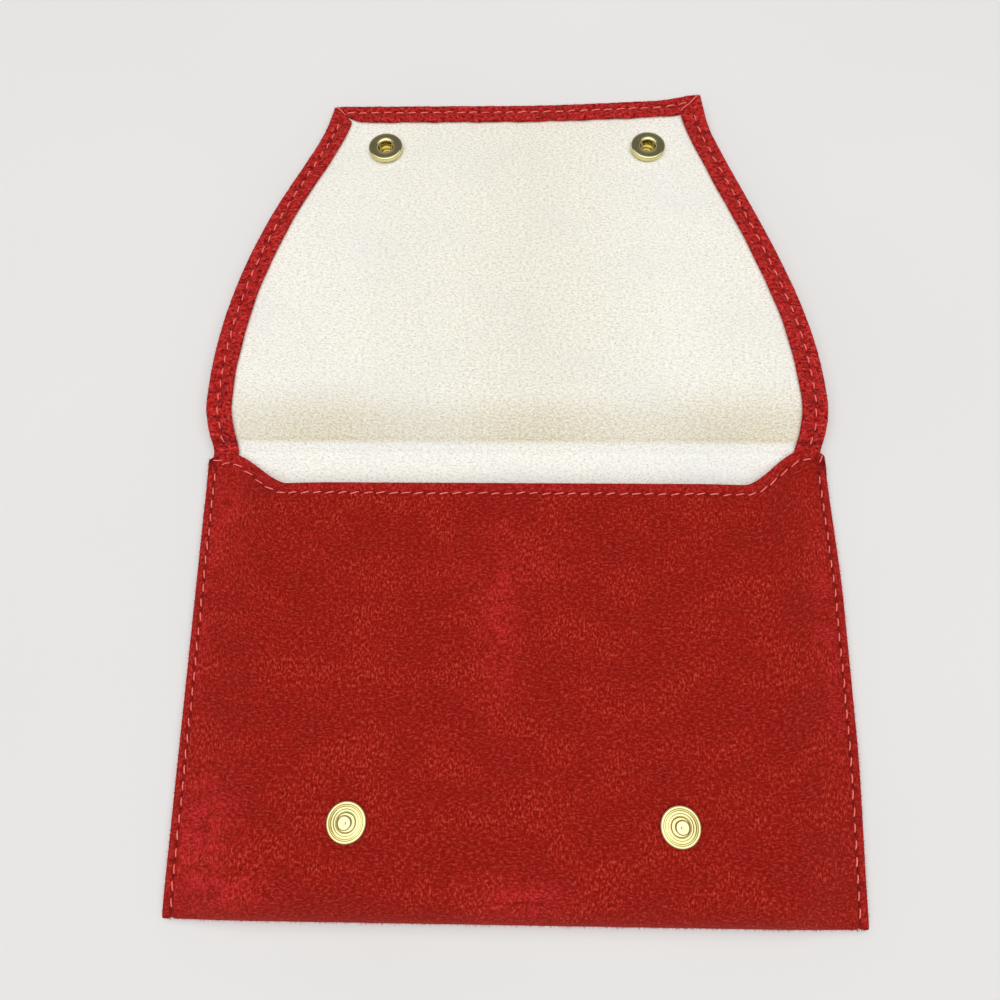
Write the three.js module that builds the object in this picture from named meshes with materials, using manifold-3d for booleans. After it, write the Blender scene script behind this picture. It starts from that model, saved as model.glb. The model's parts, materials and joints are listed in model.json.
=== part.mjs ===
// Envelope pouch for jewellery: suede outside, microsuede lining, a flap with turned hems, two brass snaps.
// Millimetres. +X is the width, +Y runs from the pocket's bottom fold towards the flap's tip, +Z is up.
// The pouch lies open on its back, as it does on a table, and the flap folds over the front in two bends.

import * as THREE from "three";
import { mergeVertices } from "three/addons/utils/BufferGeometryUtils.js";
import Module from "manifold-3d";

const wasm = await Module();
wasm.setup();

// Pocket
const POCKET_WIDTH = 165; // across the side seams
const POCKET_DEPTH = 113; // from the bottom fold to the tops of the mouth's shoulders
const MOUTH_DROP = 8.8; // the straight mouth edge lies this far below the shoulder tops
const MOUTH_HALF = 61; // half of the straight mouth edge
const SHOULDER_RUN = 14; // width of each S-curve between the straight edge and the shoulder top
const ROOM_AT_MOUTH = 4.5; // free height inside the pocket behind the mouth
const SEAM_RUN = 20; // width over which the front comes down to each side seam
const MOUTH_RUN = 18; // length over which the front comes down to each shoulder top
const BOTTOM_ROLL = 11; // length of the round between the front and the bottom fold
const BACK_ROLL = 3; // length of the round between the back and the bottom fold

// Sheets
const SUEDE = 0.9;
const LINING = 0.55;
const GLUE = 0.05; // between glued or sewn sheets
const HEM = 7; // width of the turned edge along the sides
const TIP_HEM = 6; // width of the turned edge along the tip
const EDGE_ROUND = 0.35; // rounding of a turned edge
const MITRE_GAP = 0.4; // slit where two hems meet in a corner

// Flap
const CREASE_RISE = 1.7; // the crease lies this far beyond the shoulder tops
const STRIP_LENGTH = 12; // from the crease to the soft bend
const STRIP_TILT = 16; // degrees that the strip rises when the pouch lies open
const CREASE_INSET = 0.5; // at the crease the strip is this much narrower than the pocket, on each side
const BEND_MARGIN = 1; // at the soft bend it is this much wider than the pocket, on each side
const TIP_HALF = 55.4; // half width of the tip
const SHOULDER_PULL = 42; // how far the outline runs straight on from the bend before it draws in
const TIP_PULL = 26; // length of the outline's last pull towards the tip
const TIP_FLARE = 3; // how much wider that pull starts
const TIP_MARGIN = 17.5; // from the snaps to the tip
const TIP_SLOPE = 2; // degrees that the tip slopes down to the table
const CREASE_GAP = 0.15; // each side of the crease
const BEND_GAP = 0.4; // each side of the soft bend

// Snaps
const SNAP_SPACING = 77.4; // centre to centre
const STUD_RISE = 22.8; // from the bottom fold up to the studs
const SNAP_TILT = 7; // degrees that stud and socket lean, so that they meet square
const SNAP_STACK = 2.7; // from the front's suede to the flap's lining when snapped
const SEAT_RISE_RUN = 22; // length over which the front swells at the studs
const SEAT_CLEAR = 0.15; // between a disc and the sheet that it sits on
const HOLE_CLEAR = 0.1; // round a rivet in its hole
const FIT_CLEAR = 0.05; // between metal pieces that are pressed together
const DRILL_REACH = 0.6; // how far a hole is cut past the faces of the sheets
const TURNED_EDGE = 0.15; // rounding of the turned pieces' edges, and height of their steps
const STUD_DIAMETER = 9.5;
const STUD_FLANGE = 0.45; // thickness of the stud's disc
const STUD_RIM = 0.6; // width of the flat rim round the disc
const STUD_RING = 0.55; // width of the raised ring inside that rim
const COLLAR_DIAMETER = 4.2;
const NECK_DIAMETER = 2.8;
const HEAD_DIAMETER = 3.4;
const HEAD_DEPTH = 0.75; // from the top of the head to its underside
const HEAD_ROUND = 0.45; // rounding of the head's top
const STUD_ROOF = 0.5; // metal over the hollow in the head
const STUD_HEIGHT = 2.9; // from the suede to the top of the head
const RIVET_DIAMETER = 8;
const RIVET_FLANGE = 0.4;
const SHANK_DIAMETER = 1.9;
const SHANK_POINT = 0.3; // length of the shank's pointed end, and its room under the stud's roof
const SOCKET_DIAMETER = 10;
const SOCKET_HEIGHT = 1.7; // from the lining to the socket's face
const SOCKET_MOUTH = 4.8; // diameter of the hole that takes the stud
const SOCKET_WALL = 0.25; // floor of the socket
const SOCKET_EDGE = 0.3; // rounding of the socket's outer edge
const SPRING_WIRE = 0.5;
const SPRING_LEVEL = 1.05; // height of the wire's centre over the lining
const SPRING_SEAT = 6.9; // diameter of the groove that holds the spring
const CAP_DIAMETER = 10.4;
const CAP_DOME = 1; // how far the cap stands proud of the suede
const TUBE_DIAMETER = 4.7; // the cap's hollow rivet
const TUBE_WALL = 0.4;
const ROLL_WIDTH = 0.55; // how far the tube is rolled over the socket's floor
const ROLL_HEIGHT = 0.25;

// Colours from the object
const RED = { color: 0x9c1a18, roughness: 0.95, metalness: 0 };
const IVORY = { color: 0xe6e0cf, roughness: 0.95, metalness: 0 };
const BRASS = { color: 0xd8c27a, roughness: 0.25, metalness: 1 };
const STEEL = { color: 0xb9b4a6, roughness: 0.35, metalness: 1 };

// Resolution
const ROUND_SIDES = 20;
const DOME_STEPS = 3;
const MIDDLE_STEPS = 5;
const SLOPE_STEPS = 6;
const FRONT_STEPS = 23;
const ROLL_STEPS = 4;
const FLAP_STEPS = 18;
const TIP_STEPS = 3;
const SPRING_TURN_STEPS = 6;
const SPRING_STEPS = 36;

const rad = THREE.MathUtils.degToRad;
const smooth = (t) => THREE.MathUtils.smoothstep(t, 0, 1);
const STEEPEST = 1.5; // slope of that smooth step at its middle
const lerp = THREE.MathUtils.lerp;

// Heights of the layers over the underside of the sheet
const SHEET = SUEDE + GLUE + LINING; // suede and lining together
const HEM_FLOOR = SHEET + GLUE;
const HEM_TOP = HEM_FLOOR + SUEDE;
const HALF = POCKET_WIDTH / 2;
const LINING_HALF = HALF - SUEDE - 2 * GLUE;
const CREASE_HALF = HALF - CREASE_INSET;
const BEND_HALF = HALF + BEND_MARGIN;
const STUD_DROP = POCKET_DEPTH - STUD_RISE; // from the shoulder tops down to the studs
const SEAM_HEIGHT = 2 * SHEET + GLUE;
const MOUTH_HEIGHT = 2 * SHEET + ROOM_AT_MOUTH;
const FOLD_LEVEL = SEAM_HEIGHT / 2;

// The flap's path. The crease turns about the top of the hems, the soft bend about the middle of the sheet.
const tilt = rad(STRIP_TILT);
const lean = rad(SNAP_TILT);
const creaseZ = HEM_TOP;
const bendDepth = HEM_TOP / 2;
const bendY = CREASE_RISE + STRIP_LENGTH * Math.cos(tilt) + bendDepth * Math.sin(tilt);
const bendZ = creaseZ + STRIP_LENGTH * Math.sin(tilt) - bendDepth * Math.cos(tilt);
const flapRise = bendZ - bendDepth; // height of the flap's underside at the bend
const tipDrop = (TIP_MARGIN * (Math.tan(lean) + Math.tan(rad(TIP_SLOPE)))) / 2;
const socketDrop = flapRise - tipDrop;

// Closed, the flap lies upside down over the front. Its snaps set how far the strip leans back.
const swell = (SEAT_RISE_RUN * Math.tan(lean)) / STEEPEST;
const studZ = MOUTH_HEIGHT + swell / 2;
const closedBendZ = studZ + SNAP_STACK * Math.cos(lean) + SHEET - socketDrop - bendDepth;
const armLength = Math.hypot(STRIP_LENGTH, bendDepth);
const leanBack = Math.asin((closedBendZ - creaseZ) / armLength) - Math.atan2(bendDepth, STRIP_LENGTH);
const closedBendY = CREASE_RISE - STRIP_LENGTH * Math.cos(leanBack) + bendDepth * Math.sin(leanBack);
const socketRun = STUD_DROP + closedBendY - SNAP_STACK * Math.sin(lean); // from the bend to the sockets
const tipRun = socketRun + TIP_MARGIN;
const slopeStart = socketRun - (2 * socketDrop) / Math.tan(lean);
const flapReach = bendY + tipRun;

// Fold angles that close the flap, for whoever drives the joints
export const folds = {
  crease: { y: CREASE_RISE, z: creaseZ, degrees: 180 - STRIP_TILT - THREE.MathUtils.radToDeg(leanBack) },
  bend: { y: bendY, z: bendZ, degrees: STRIP_TILT + THREE.MathUtils.radToDeg(leanBack) },
  centre: (POCKET_DEPTH - flapReach) / 2,
};

// Height of the flap's underside at a distance from the bend
function flapHeight(run) {
  if (run <= slopeStart) return flapRise;
  const steep = Math.tan(lean);
  if (run <= socketRun) {
    const t = run - slopeStart;
    return flapRise - (steep * t * t) / (2 * (socketRun - slopeStart));
  }
  const t = run - socketRun;
  const ease = (steep - Math.tan(rad(TIP_SLOPE))) / TIP_MARGIN;
  return flapRise - socketDrop - steep * t + (ease * t * t) / 2;
}

// Outline of the flap: half width at a distance from the bend
const outline = new THREE.CubicBezierCurve(
  new THREE.Vector2(BEND_HALF, 0),
  new THREE.Vector2(BEND_HALF, SHOULDER_PULL),
  new THREE.Vector2(TIP_HALF + TIP_FLARE, tipRun - TIP_PULL),
  new THREE.Vector2(TIP_HALF, tipRun)
);

function flapHalf(run) {
  let low = 0;
  let high = 1;
  while (high - low > 1e-7) {
    const mid = (low + high) / 2;
    if (outline.getPoint(mid).y < run) low = mid;
    else high = mid;
  }
  return outline.getPoint((low + high) / 2).x;
}

// Mouth edge of the front, and the height of the front's outer face
function mouthEdge(x) {
  return -MOUTH_DROP * (1 - smooth((Math.abs(x) - MOUTH_HALF) / SHOULDER_RUN));
}

function frontHeight(x, y) {
  const toSeam = HALF - Math.abs(x);
  const atSide = smooth(toSeam / SEAM_RUN);
  const atShoulder = smooth(-y / MOUTH_RUN);
  const nearShoulder = smooth((Math.abs(x) - MOUTH_HALF + SHOULDER_RUN) / (2 * SHOULDER_RUN));
  const open = atSide * (1 - (1 - atShoulder) * nearShoulder);
  const raised = swell * smooth((-y - STUD_DROP) / SEAT_RISE_RUN + 0.5);
  return SEAM_HEIGHT + (MOUTH_HEIGHT + raised - SEAM_HEIGHT) * open;
}

// A closed body from rings of points, each ring the same length, with a flat cap at each end.
// The diagonals all lean one way in plan, so that sheets that lie on each other keep their gap.
function loft(rings) {
  const count = rings[0].length;
  const last = rings.length - 1;
  const points = rings.flat();
  const index = [];
  for (let r = 0; r < last; r += 1) {
    for (let i = 0; i < count; i += 1) {
      const a = r * count + i;
      const b = r * count + ((i + 1) % count);
      const [c, d] = [b + count, a + count];
      if (points[c].y > points[a].y) index.push(a, b, c, a, c, d);
      else index.push(a, b, d, b, c, d);
    }
  }
  const addCap = (ring, start, side) => {
    const across = ring.some((p) => Math.abs(p.x - ring[0].x) > 1e-6);
    const flat = ring.map((p) => new THREE.Vector2(across ? p.x : p.y, p.z));
    const sense = side * Math.sign(THREE.ShapeUtils.area(flat));
    THREE.ShapeUtils.triangulateShape(flat, []).forEach(([a, b, c]) => {
      const turn = Math.sign(THREE.ShapeUtils.area([flat[a], flat[b], flat[c]]));
      index.push(start + a, start + (turn === sense ? b : c), start + (turn === sense ? c : b));
    });
  };
  addCap(rings[0], 0, -1);
  addCap(rings[last], last * count, 1);
  return closedGeometry(points, index);
}

// Indexed geometry with its faces turned outwards
function closedGeometry(points, index) {
  let volume = 0;
  for (let i = 0; i < index.length; i += 3) {
    const [a, b, c] = [points[index[i]], points[index[i + 1]], points[index[i + 2]]];
    volume += a.dot(new THREE.Vector3().crossVectors(b, c));
  }
  if (volume < 0) index.reverse();
  const geometry = new THREE.BufferGeometry();
  geometry.setAttribute("position", new THREE.Float32BufferAttribute(points.flatMap((p) => p.toArray()), 3));
  geometry.setIndex(index);
  return geometry;
}

const point = (x, y, z) => new THREE.Vector3(x, y, z);

// Joins and cuts
function toSolid(geometry) {
  const bare = geometry.clone();
  bare.deleteAttribute("normal");
  bare.deleteAttribute("uv");
  const merged = mergeVertices(bare, 1e-5);
  const mesh = new wasm.Mesh({
    numProp: 3,
    vertProperties: new Float32Array(merged.attributes.position.array),
    triVerts: new Uint32Array(merged.index.array),
  });
  return new wasm.Manifold(mesh);
}

function toGeometry(solid) {
  const mesh = solid.getMesh();
  const geometry = new THREE.BufferGeometry();
  geometry.setAttribute("position", new THREE.BufferAttribute(mesh.vertProperties.slice(), 3));
  geometry.setIndex(new THREE.BufferAttribute(mesh.triVerts.slice(), 1));
  return geometry;
}

const join = (...parts) => toGeometry(parts.map(toSolid).reduce((a, b) => a.add(b)));
const cut = (body, ...tools) => toGeometry(tools.map(toSolid).reduce((a, b) => a.subtract(b), toSolid(body)));

// Stations across the pocket, closer together where the front comes down to the seams
function stationsAcross(half) {
  const inner = HALF - SEAM_RUN;
  const stations = [];
  for (let i = 0; i < MIDDLE_STEPS; i += 1) {
    stations.push(inner * Math.sin((i / MIDDLE_STEPS) * (Math.PI / 2)));
  }
  for (let i = 0; i <= SLOPE_STEPS; i += 1) {
    stations.push(lerp(inner, LINING_HALF, i / SLOPE_STEPS));
  }
  if (half > LINING_HALF) stations.push(half);
  const mirrored = stations.filter((x) => x > 0).map((x) => -x);
  return [...mirrored.reverse(), ...stations];
}

// One face of the folded pocket sheet at a station: along the back, round the fold, and up to the mouth
function pocketFace(x, inset, backEnd, toMouth) {
  const fold = -POCKET_DEPTH;
  const rollY = fold + BOTTOM_ROLL;
  const rollZ = frontHeight(x, rollY);
  const face = [point(x, backEnd, inset), point(x, -POCKET_DEPTH / 2, inset)];
  for (let i = 0; i <= ROLL_STEPS; i += 1) {
    const a = (i / ROLL_STEPS) * (Math.PI / 2);
    const y = fold + BACK_ROLL - (BACK_ROLL - inset) * Math.sin(a);
    face.push(point(x, y, FOLD_LEVEL - (FOLD_LEVEL - inset) * Math.cos(a)));
  }
  for (let i = 1; i < ROLL_STEPS; i += 1) {
    const a = (i / ROLL_STEPS) * (Math.PI / 2);
    const y = rollY - (BOTTOM_ROLL - inset) * Math.cos(a);
    face.push(point(x, y, FOLD_LEVEL + (rollZ - inset - FOLD_LEVEL) * Math.sin(a)));
  }
  const mouth = mouthEdge(x);
  for (let i = 0; i <= FRONT_STEPS; i += 1) {
    const y = lerp(rollY, mouth - SUEDE, i / FRONT_STEPS);
    face.push(point(x, y, frontHeight(x, y) - inset));
  }
  if (toMouth) face.push(point(x, mouth, frontHeight(x, mouth) - inset));
  return face;
}

// A sheet folded into back and front, between two depths under the outer face.
// The suede reaches the mouth's edge, and the lining stops a sheet's thickness short of it.
function pocketSheet(half, outer, inner, backEnd, toMouth) {
  const rings = stationsAcross(half).map((x) => {
    const outside = pocketFace(x, outer, backEnd, toMouth);
    const inside = pocketFace(x, inner, backEnd, toMouth);
    return [...outside, ...inside.reverse()];
  });
  return loft(rings);
}

// Section across a suede sheet with its two side edges turned over onto the lining
function hemmedSection(half, y, z) {
  const r = EDGE_ROUND;
  const side = [
    [half - r, 0],
    [half, r],
    [half, HEM_TOP - r],
    [half - r, HEM_TOP],
    [half - HEM + r, HEM_TOP],
    [half - HEM, HEM_TOP - r],
    [half - HEM, HEM_FLOOR],
    [half - SUEDE, HEM_FLOOR],
    [half - SUEDE, SUEDE],
  ];
  const right = side.map(([x, h]) => point(x, y, z + h));
  const left = side.map(([x, h]) => point(-x, y, z + h)).reverse();
  return [...right, ...left];
}

const hemmedSheet = (rows) => loft(rows.map((row) => hemmedSection(row.half, row.y, row.z)));

// A plain sheet between two depths, with its edge inside the turned edges
function plainSheet(rows, low, high, edge) {
  const rings = rows.map(({ half, y, z }) => [
    point(-half + edge, y, z + low),
    point(half - edge, y, z + low),
    point(half - edge, y, z + high),
    point(-half + edge, y, z + high),
  ]);
  return loft(rings);
}

// Rows along the flap, from the bend to the tip
function flapRows(from, to, steps) {
  return Array.from({ length: steps + 1 }, (_, i) => {
    const run = lerp(from, to, i / steps);
    return { half: flapHalf(run), y: bendY + run, z: flapHeight(run), run };
  });
}

// Turned shapes: a profile of radius and height, revolved about the snap's axis
function turned(profile) {
  const lathe = new THREE.LatheGeometry(
    profile.map(([r, h]) => new THREE.Vector2(r, h)),
    ROUND_SIDES
  );
  lathe.rotateX(Math.PI / 2);
  lathe.deleteAttribute("normal");
  lathe.deleteAttribute("uv");
  const merged = mergeVertices(lathe, 1e-5);
  const places = merged.attributes.position;
  const points = Array.from({ length: places.count }, (_, i) =>
    new THREE.Vector3().fromBufferAttribute(places, i)
  );
  const index = [];
  for (let i = 0; i < merged.index.count; i += 3) {
    const face = [merged.index.getX(i), merged.index.getX(i + 1), merged.index.getX(i + 2)];
    if (new Set(face).size === 3) index.push(...face);
  }
  return closedGeometry(points, index);
}

const drill = (diameter, low, high) =>
  turned([
    [0, low],
    [diameter / 2, low],
    [diameter / 2, high],
    [0, high],
  ]);

// Places a snap piece: its own +Z is the snap's axis, and its zero is the sheet's face that it sits on
function atSnap(geometry, side, y, z) {
  const placed = geometry.clone();
  placed.rotateX(-lean);
  placed.translate((side * SNAP_SPACING) / 2, y, z);
  return placed;
}

const studPlace = [-STUD_DROP, studZ];
const socketPlace = [bendY + socketRun, flapHeight(socketRun) + SHEET];
const SIDES = [
  ["left", -1],
  ["right", 1],
];

// Stud: a disc with a raised rim and ring, a collar, a waisted neck and a round head, hollow underneath
function studShape() {
  const edge = TURNED_EDGE;
  const disc = STUD_DIAMETER / 2;
  const rim = disc - STUD_RIM;
  const top = SEAT_CLEAR + STUD_FLANGE;
  const neck = NECK_DIAMETER / 2;
  const head = HEAD_DIAMETER / 2;
  const collar = COLLAR_DIAMETER / 2;
  const hollow = SHANK_DIAMETER / 2 + HOLE_CLEAR;
  const roof = STUD_HEIGHT - STUD_ROOF;
  return turned([
    [0, roof],
    [hollow, roof - edge],
    [hollow, SEAT_CLEAR],
    [disc - edge, SEAT_CLEAR],
    [disc, SEAT_CLEAR + edge],
    [disc, top - edge],
    [disc - edge, top],
    [rim, top],
    [rim - edge, top - edge],
    [rim - 2 * edge, top],
    [rim - STUD_RING, top - edge],
    [collar, top - edge],
    [collar, top + edge],
    [neck, top + 2 * edge],
    [neck, STUD_HEIGHT - HEAD_DEPTH - edge],
    [head, STUD_HEIGHT - HEAD_DEPTH],
    [head, STUD_HEIGHT - HEAD_ROUND],
    [head - HEAD_ROUND, STUD_HEIGHT],
    [0, STUD_HEIGHT],
  ]);
}

// Rivet: a flat disc inside the pocket, whose shank passes through both sheets into the stud
function rivetShape() {
  const under = -SHEET - SEAT_CLEAR;
  const shank = SHANK_DIAMETER / 2;
  const disc = RIVET_DIAMETER / 2;
  const end = STUD_HEIGHT - STUD_ROOF - SHANK_POINT;
  return turned([
    [0, under - RIVET_FLANGE],
    [disc - TURNED_EDGE, under - RIVET_FLANGE],
    [disc, under - RIVET_FLANGE / 2],
    [disc - TURNED_EDGE, under],
    [shank, under],
    [shank, end - SHANK_POINT],
    [shank - SHANK_POINT, end],
    [0, end],
  ]);
}

// Socket: a round case whose inner groove holds the spring, with the mouth for the stud on top
function socketShape() {
  const outer = SOCKET_DIAMETER / 2;
  const mouth = SOCKET_MOUTH / 2;
  const groove = SPRING_SEAT / 2;
  const eye = TUBE_DIAMETER / 2 + HOLE_CLEAR;
  const floor = SEAT_CLEAR + SOCKET_WALL;
  const roof = SPRING_LEVEL + SPRING_WIRE / 2 + FIT_CLEAR;
  return turned([
    [eye, SEAT_CLEAR],
    [outer - TURNED_EDGE, SEAT_CLEAR],
    [outer, SEAT_CLEAR + TURNED_EDGE],
    [outer, SOCKET_HEIGHT - SOCKET_EDGE],
    [outer - SOCKET_EDGE, SOCKET_HEIGHT],
    [mouth + TURNED_EDGE, SOCKET_HEIGHT],
    [mouth, SOCKET_HEIGHT - TURNED_EDGE],
    [mouth, roof],
    [groove, roof],
    [groove, floor],
    [eye, floor],
    [eye, SEAT_CLEAR],
  ]);
}

// Spring: a wire hairpin lying in the socket's groove, whose two arms close round the stud's neck
function springShape() {
  const arm = NECK_DIAMETER / 2 + HOLE_CLEAR + SPRING_WIRE / 2;
  const reach = SPRING_SEAT / 2 - SPRING_WIRE / 2 - HOLE_CLEAR;
  const end = Math.sqrt(reach * reach - arm * arm) - SPRING_WIRE / 2;
  const turn = reach - arm;
  const path = [point(-arm, -end, SPRING_LEVEL), point(-arm, (turn - end) / 2, SPRING_LEVEL)];
  for (let i = 0; i <= SPRING_TURN_STEPS; i += 1) {
    const a = Math.PI * (1 - i / SPRING_TURN_STEPS);
    path.push(point(arm * Math.cos(a), turn + arm * Math.sin(a), SPRING_LEVEL));
  }
  path.push(point(arm, (turn - end) / 2, SPRING_LEVEL), point(arm, -end, SPRING_LEVEL));
  const section = new THREE.Shape();
  section.absarc(0, 0, SPRING_WIRE / 2, 0, 2 * Math.PI);
  return new THREE.ExtrudeGeometry(section, {
    extrudePath: new THREE.CatmullRomCurve3(path),
    steps: SPRING_STEPS,
    curveSegments: 3,
  });
}

// Cap: a domed head on the flap's outside, with a hollow rivet rolled over inside the socket
function capShape() {
  const under = -SHEET - SEAT_CLEAR;
  const rim = CAP_DIAMETER / 2;
  const tube = TUBE_DIAMETER / 2;
  const bore = tube - TUBE_WALL;
  const roll = SEAT_CLEAR + SOCKET_WALL + FIT_CLEAR;
  const dome = Array.from({ length: DOME_STEPS + 1 }, (_, i) => {
    const a = (i / DOME_STEPS) * (Math.PI / 2);
    return [rim * Math.sin(a), under - TURNED_EDGE - (CAP_DOME - TURNED_EDGE) * Math.cos(a)];
  });
  return turned([
    ...dome,
    [rim - TURNED_EDGE, under],
    [tube, under],
    [tube, roll],
    [tube + ROLL_WIDTH, roll],
    [tube + ROLL_WIDTH, roll + ROLL_HEIGHT / 2],
    [tube + ROLL_WIDTH / 2, roll + ROLL_HEIGHT],
    [bore, roll + ROLL_HEIGHT],
    [bore, under + TURNED_EDGE],
    [0, under + TURNED_EDGE],
  ]);
}

// Pocket body: suede folded at the bottom, with the start of the turned hems beyond the shoulder tops
function pocketSuede() {
  const backEnd = CREASE_RISE - CREASE_GAP;
  const folded = pocketSheet(HALF, 0, SUEDE, backEnd, true);
  const hemStart = hemmedSheet([
    { half: HALF, y: 2 * CREASE_GAP, z: 0 },
    { half: HALF, y: backEnd, z: 0 },
  ]);
  const sheet = toGeometry(toSolid(folded).add(toSolid(hemStart)));
  return cut(sheet, ...studHoles());
}

function pocketLining() {
  const sheet = pocketSheet(LINING_HALF, SUEDE + GLUE, SHEET, CREASE_RISE - CREASE_GAP, false);
  return cut(sheet, ...studHoles());
}

// Holes through both sheets at the snaps, for a shank or a tube
function snapHoles(diameter, place) {
  const tool = drill(diameter + 2 * HOLE_CLEAR, -SHEET - DRILL_REACH, DRILL_REACH);
  return SIDES.map(([, side]) => atSnap(tool, side, ...place));
}

const studHoles = () => snapHoles(SHANK_DIAMETER, studPlace);
const socketHoles = () => snapHoles(TUBE_DIAMETER, socketPlace);

// Fold strip, between the crease and the soft bend
function stripRows() {
  const start = { half: CREASE_HALF, y: CREASE_GAP, z: -HEM_TOP };
  const end = { half: BEND_HALF, y: STRIP_LENGTH - BEND_GAP, z: -HEM_TOP };
  return [start, end];
}

function raisedStrip(geometry) {
  geometry.rotateX(tilt);
  geometry.translate(0, CREASE_RISE, creaseZ);
  return geometry;
}

const foldSuede = () => raisedStrip(hemmedSheet(stripRows()));
const foldLining = () => raisedStrip(plainSheet(stripRows(), SUEDE + GLUE, SHEET, SUEDE + GLUE));

// Flap
const tipHemRows = () => flapRows(tipRun - TIP_HEM, tipRun, TIP_STEPS);

function flapSuede() {
  const rows = [...flapRows(BEND_GAP, tipRun - TIP_HEM, FLAP_STEPS), ...tipHemRows().slice(1)];
  const body = hemmedSheet(rows);
  const tipHem = plainSheet(tipHemRows(), HEM_FLOOR, HEM_TOP, EDGE_ROUND);
  const wallRows = flapRows(tipRun - SUEDE, tipRun, 1);
  const tipWall = plainSheet(wallRows, 0, HEM_TOP - EDGE_ROUND, EDGE_ROUND);
  const joined = join(body, tipHem, tipWall);
  return cut(joined, ...mitreSlits(), ...socketHoles());
}

// Slits where the tip's hem meets the side hems, from the lining's corner to the sheet's corner
function mitreSlits() {
  const inner = tipHemRows()[0];
  const outer = tipHemRows()[TIP_STEPS];
  const from = new THREE.Vector2(inner.half - HEM, inner.y);
  const to = new THREE.Vector2(outer.half - SUEDE, outer.y - SUEDE);
  const along = to.clone().sub(from);
  const slit = new THREE.BoxGeometry(along.length() + SUEDE, MITRE_GAP, 2 * SUEDE);
  return SIDES.map(([, side]) => {
    const placed = slit.clone();
    placed.rotateZ(Math.atan2(along.y, side * along.x));
    const middle = from.clone().add(to).divideScalar(2);
    placed.translate(side * middle.x, middle.y, outer.z + HEM_FLOOR + SUEDE);
    return placed;
  });
}

function flapLining() {
  const rows = flapRows(BEND_GAP, tipRun - SUEDE - GLUE, FLAP_STEPS + TIP_STEPS);
  const sheet = plainSheet(rows, SUEDE + GLUE, SHEET, SUEDE + GLUE);
  return cut(sheet, ...socketHoles());
}

// The assembly
const pouch = new THREE.Group();
pouch.position.y = folds.centre;

function addPiece(name, geometry, finish) {
  const mesh = new THREE.Mesh(geometry, new THREE.MeshStandardMaterial(finish));
  mesh.name = name;
  pouch.add(mesh);
  return mesh;
}

addPiece("pocket_suede", pocketSuede(), RED);
addPiece("pocket_lining", pocketLining(), IVORY);
addPiece("fold_suede", foldSuede(), RED);
addPiece("fold_lining", foldLining(), IVORY);
addPiece("flap_suede", flapSuede(), RED);
addPiece("flap_lining", flapLining(), IVORY);

const atStud = [
  ["stud", studShape(), BRASS],
  ["stud_rivet", rivetShape(), BRASS],
];
const atSocket = [
  ["cap", capShape(), BRASS],
  ["socket", socketShape(), BRASS],
  ["socket_spring", springShape(), STEEL],
];

function addSnapPieces(pieces, place) {
  for (const [kind, geometry, finish] of pieces) {
    for (const [name, side] of SIDES) {
      const mesh = addPiece(`${kind}_${name}`, geometry, finish);
      mesh.position.set((side * SNAP_SPACING) / 2, ...place);
      mesh.rotation.x = -lean;
    }
  }
}

addSnapPieces(atStud, studPlace);
addSnapPieces(atSocket, socketPlace);

export default pouch;
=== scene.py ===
import json
import math

import bpy
import numpy as np
from mathutils import Matrix, Vector, noise
from mathutils.bvhtree import BVHTree


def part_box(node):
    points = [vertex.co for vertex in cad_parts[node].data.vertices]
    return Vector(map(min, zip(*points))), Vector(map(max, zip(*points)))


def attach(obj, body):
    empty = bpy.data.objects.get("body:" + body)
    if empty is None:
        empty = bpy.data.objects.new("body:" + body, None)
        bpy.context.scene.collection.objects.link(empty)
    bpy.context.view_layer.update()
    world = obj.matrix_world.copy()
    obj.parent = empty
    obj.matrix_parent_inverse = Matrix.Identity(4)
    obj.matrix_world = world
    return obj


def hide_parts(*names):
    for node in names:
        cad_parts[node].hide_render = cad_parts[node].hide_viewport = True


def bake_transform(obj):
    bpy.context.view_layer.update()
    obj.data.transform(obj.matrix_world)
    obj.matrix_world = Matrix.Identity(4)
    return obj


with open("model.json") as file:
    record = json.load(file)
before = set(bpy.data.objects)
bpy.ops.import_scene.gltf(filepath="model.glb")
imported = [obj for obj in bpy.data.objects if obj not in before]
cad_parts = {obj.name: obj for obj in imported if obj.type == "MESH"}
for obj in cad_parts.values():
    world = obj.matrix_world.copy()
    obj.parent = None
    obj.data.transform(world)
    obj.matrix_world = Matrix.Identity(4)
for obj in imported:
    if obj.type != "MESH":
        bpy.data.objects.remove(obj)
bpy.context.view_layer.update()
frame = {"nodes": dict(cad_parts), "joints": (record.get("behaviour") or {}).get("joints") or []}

# The looks of an envelope pouch for jewellery: soft suede and lining sheets, sewing thread and brass snaps.
# Shapes are worked out in millimetres in the frame of the solids, and scaled to metres in each mesh.

MM = 0.001

# Sheets, as in the pouch's construction
SUEDE = 0.9
LINING = 0.55
GLUE = 0.05
HEM = 7.0
TIP_HEM = 6.0
MOUTH_DROP = 8.8
MOUTH_HALF = 61.0
SHOULDER_RUN = 14.0
ROOM_AT_MOUTH = 4.5
SEAM_RUN = 20.0
MOUTH_RUN = 18.0
BOTTOM_ROLL = 11.0
BACK_ROLL = 3.0
CREASE_RISE = 1.7
TIP_HALF = 55.4
SHOULDER_PULL = 42.0
TIP_PULL = 26.0
TIP_FLARE = 3.0
TIP_SLOPE = math.radians(2)
SNAP_TILT = math.radians(7)
SEAT_RISE_RUN = 22.0
STEEPEST = 1.5  # slope of the smooth step at its middle
SEAT_CLEAR = 0.15  # between a snap's disc and the sheet that it sits on
SNAP_MIDDLE = 0.92  # from the lining to the middle of a socket
SOCKET_RADIUS = 5.0
SOCKET_PILLOW = 0.28  # how high the lining swells round a pressed socket
STUD_RADIUS = 4.75

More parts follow.
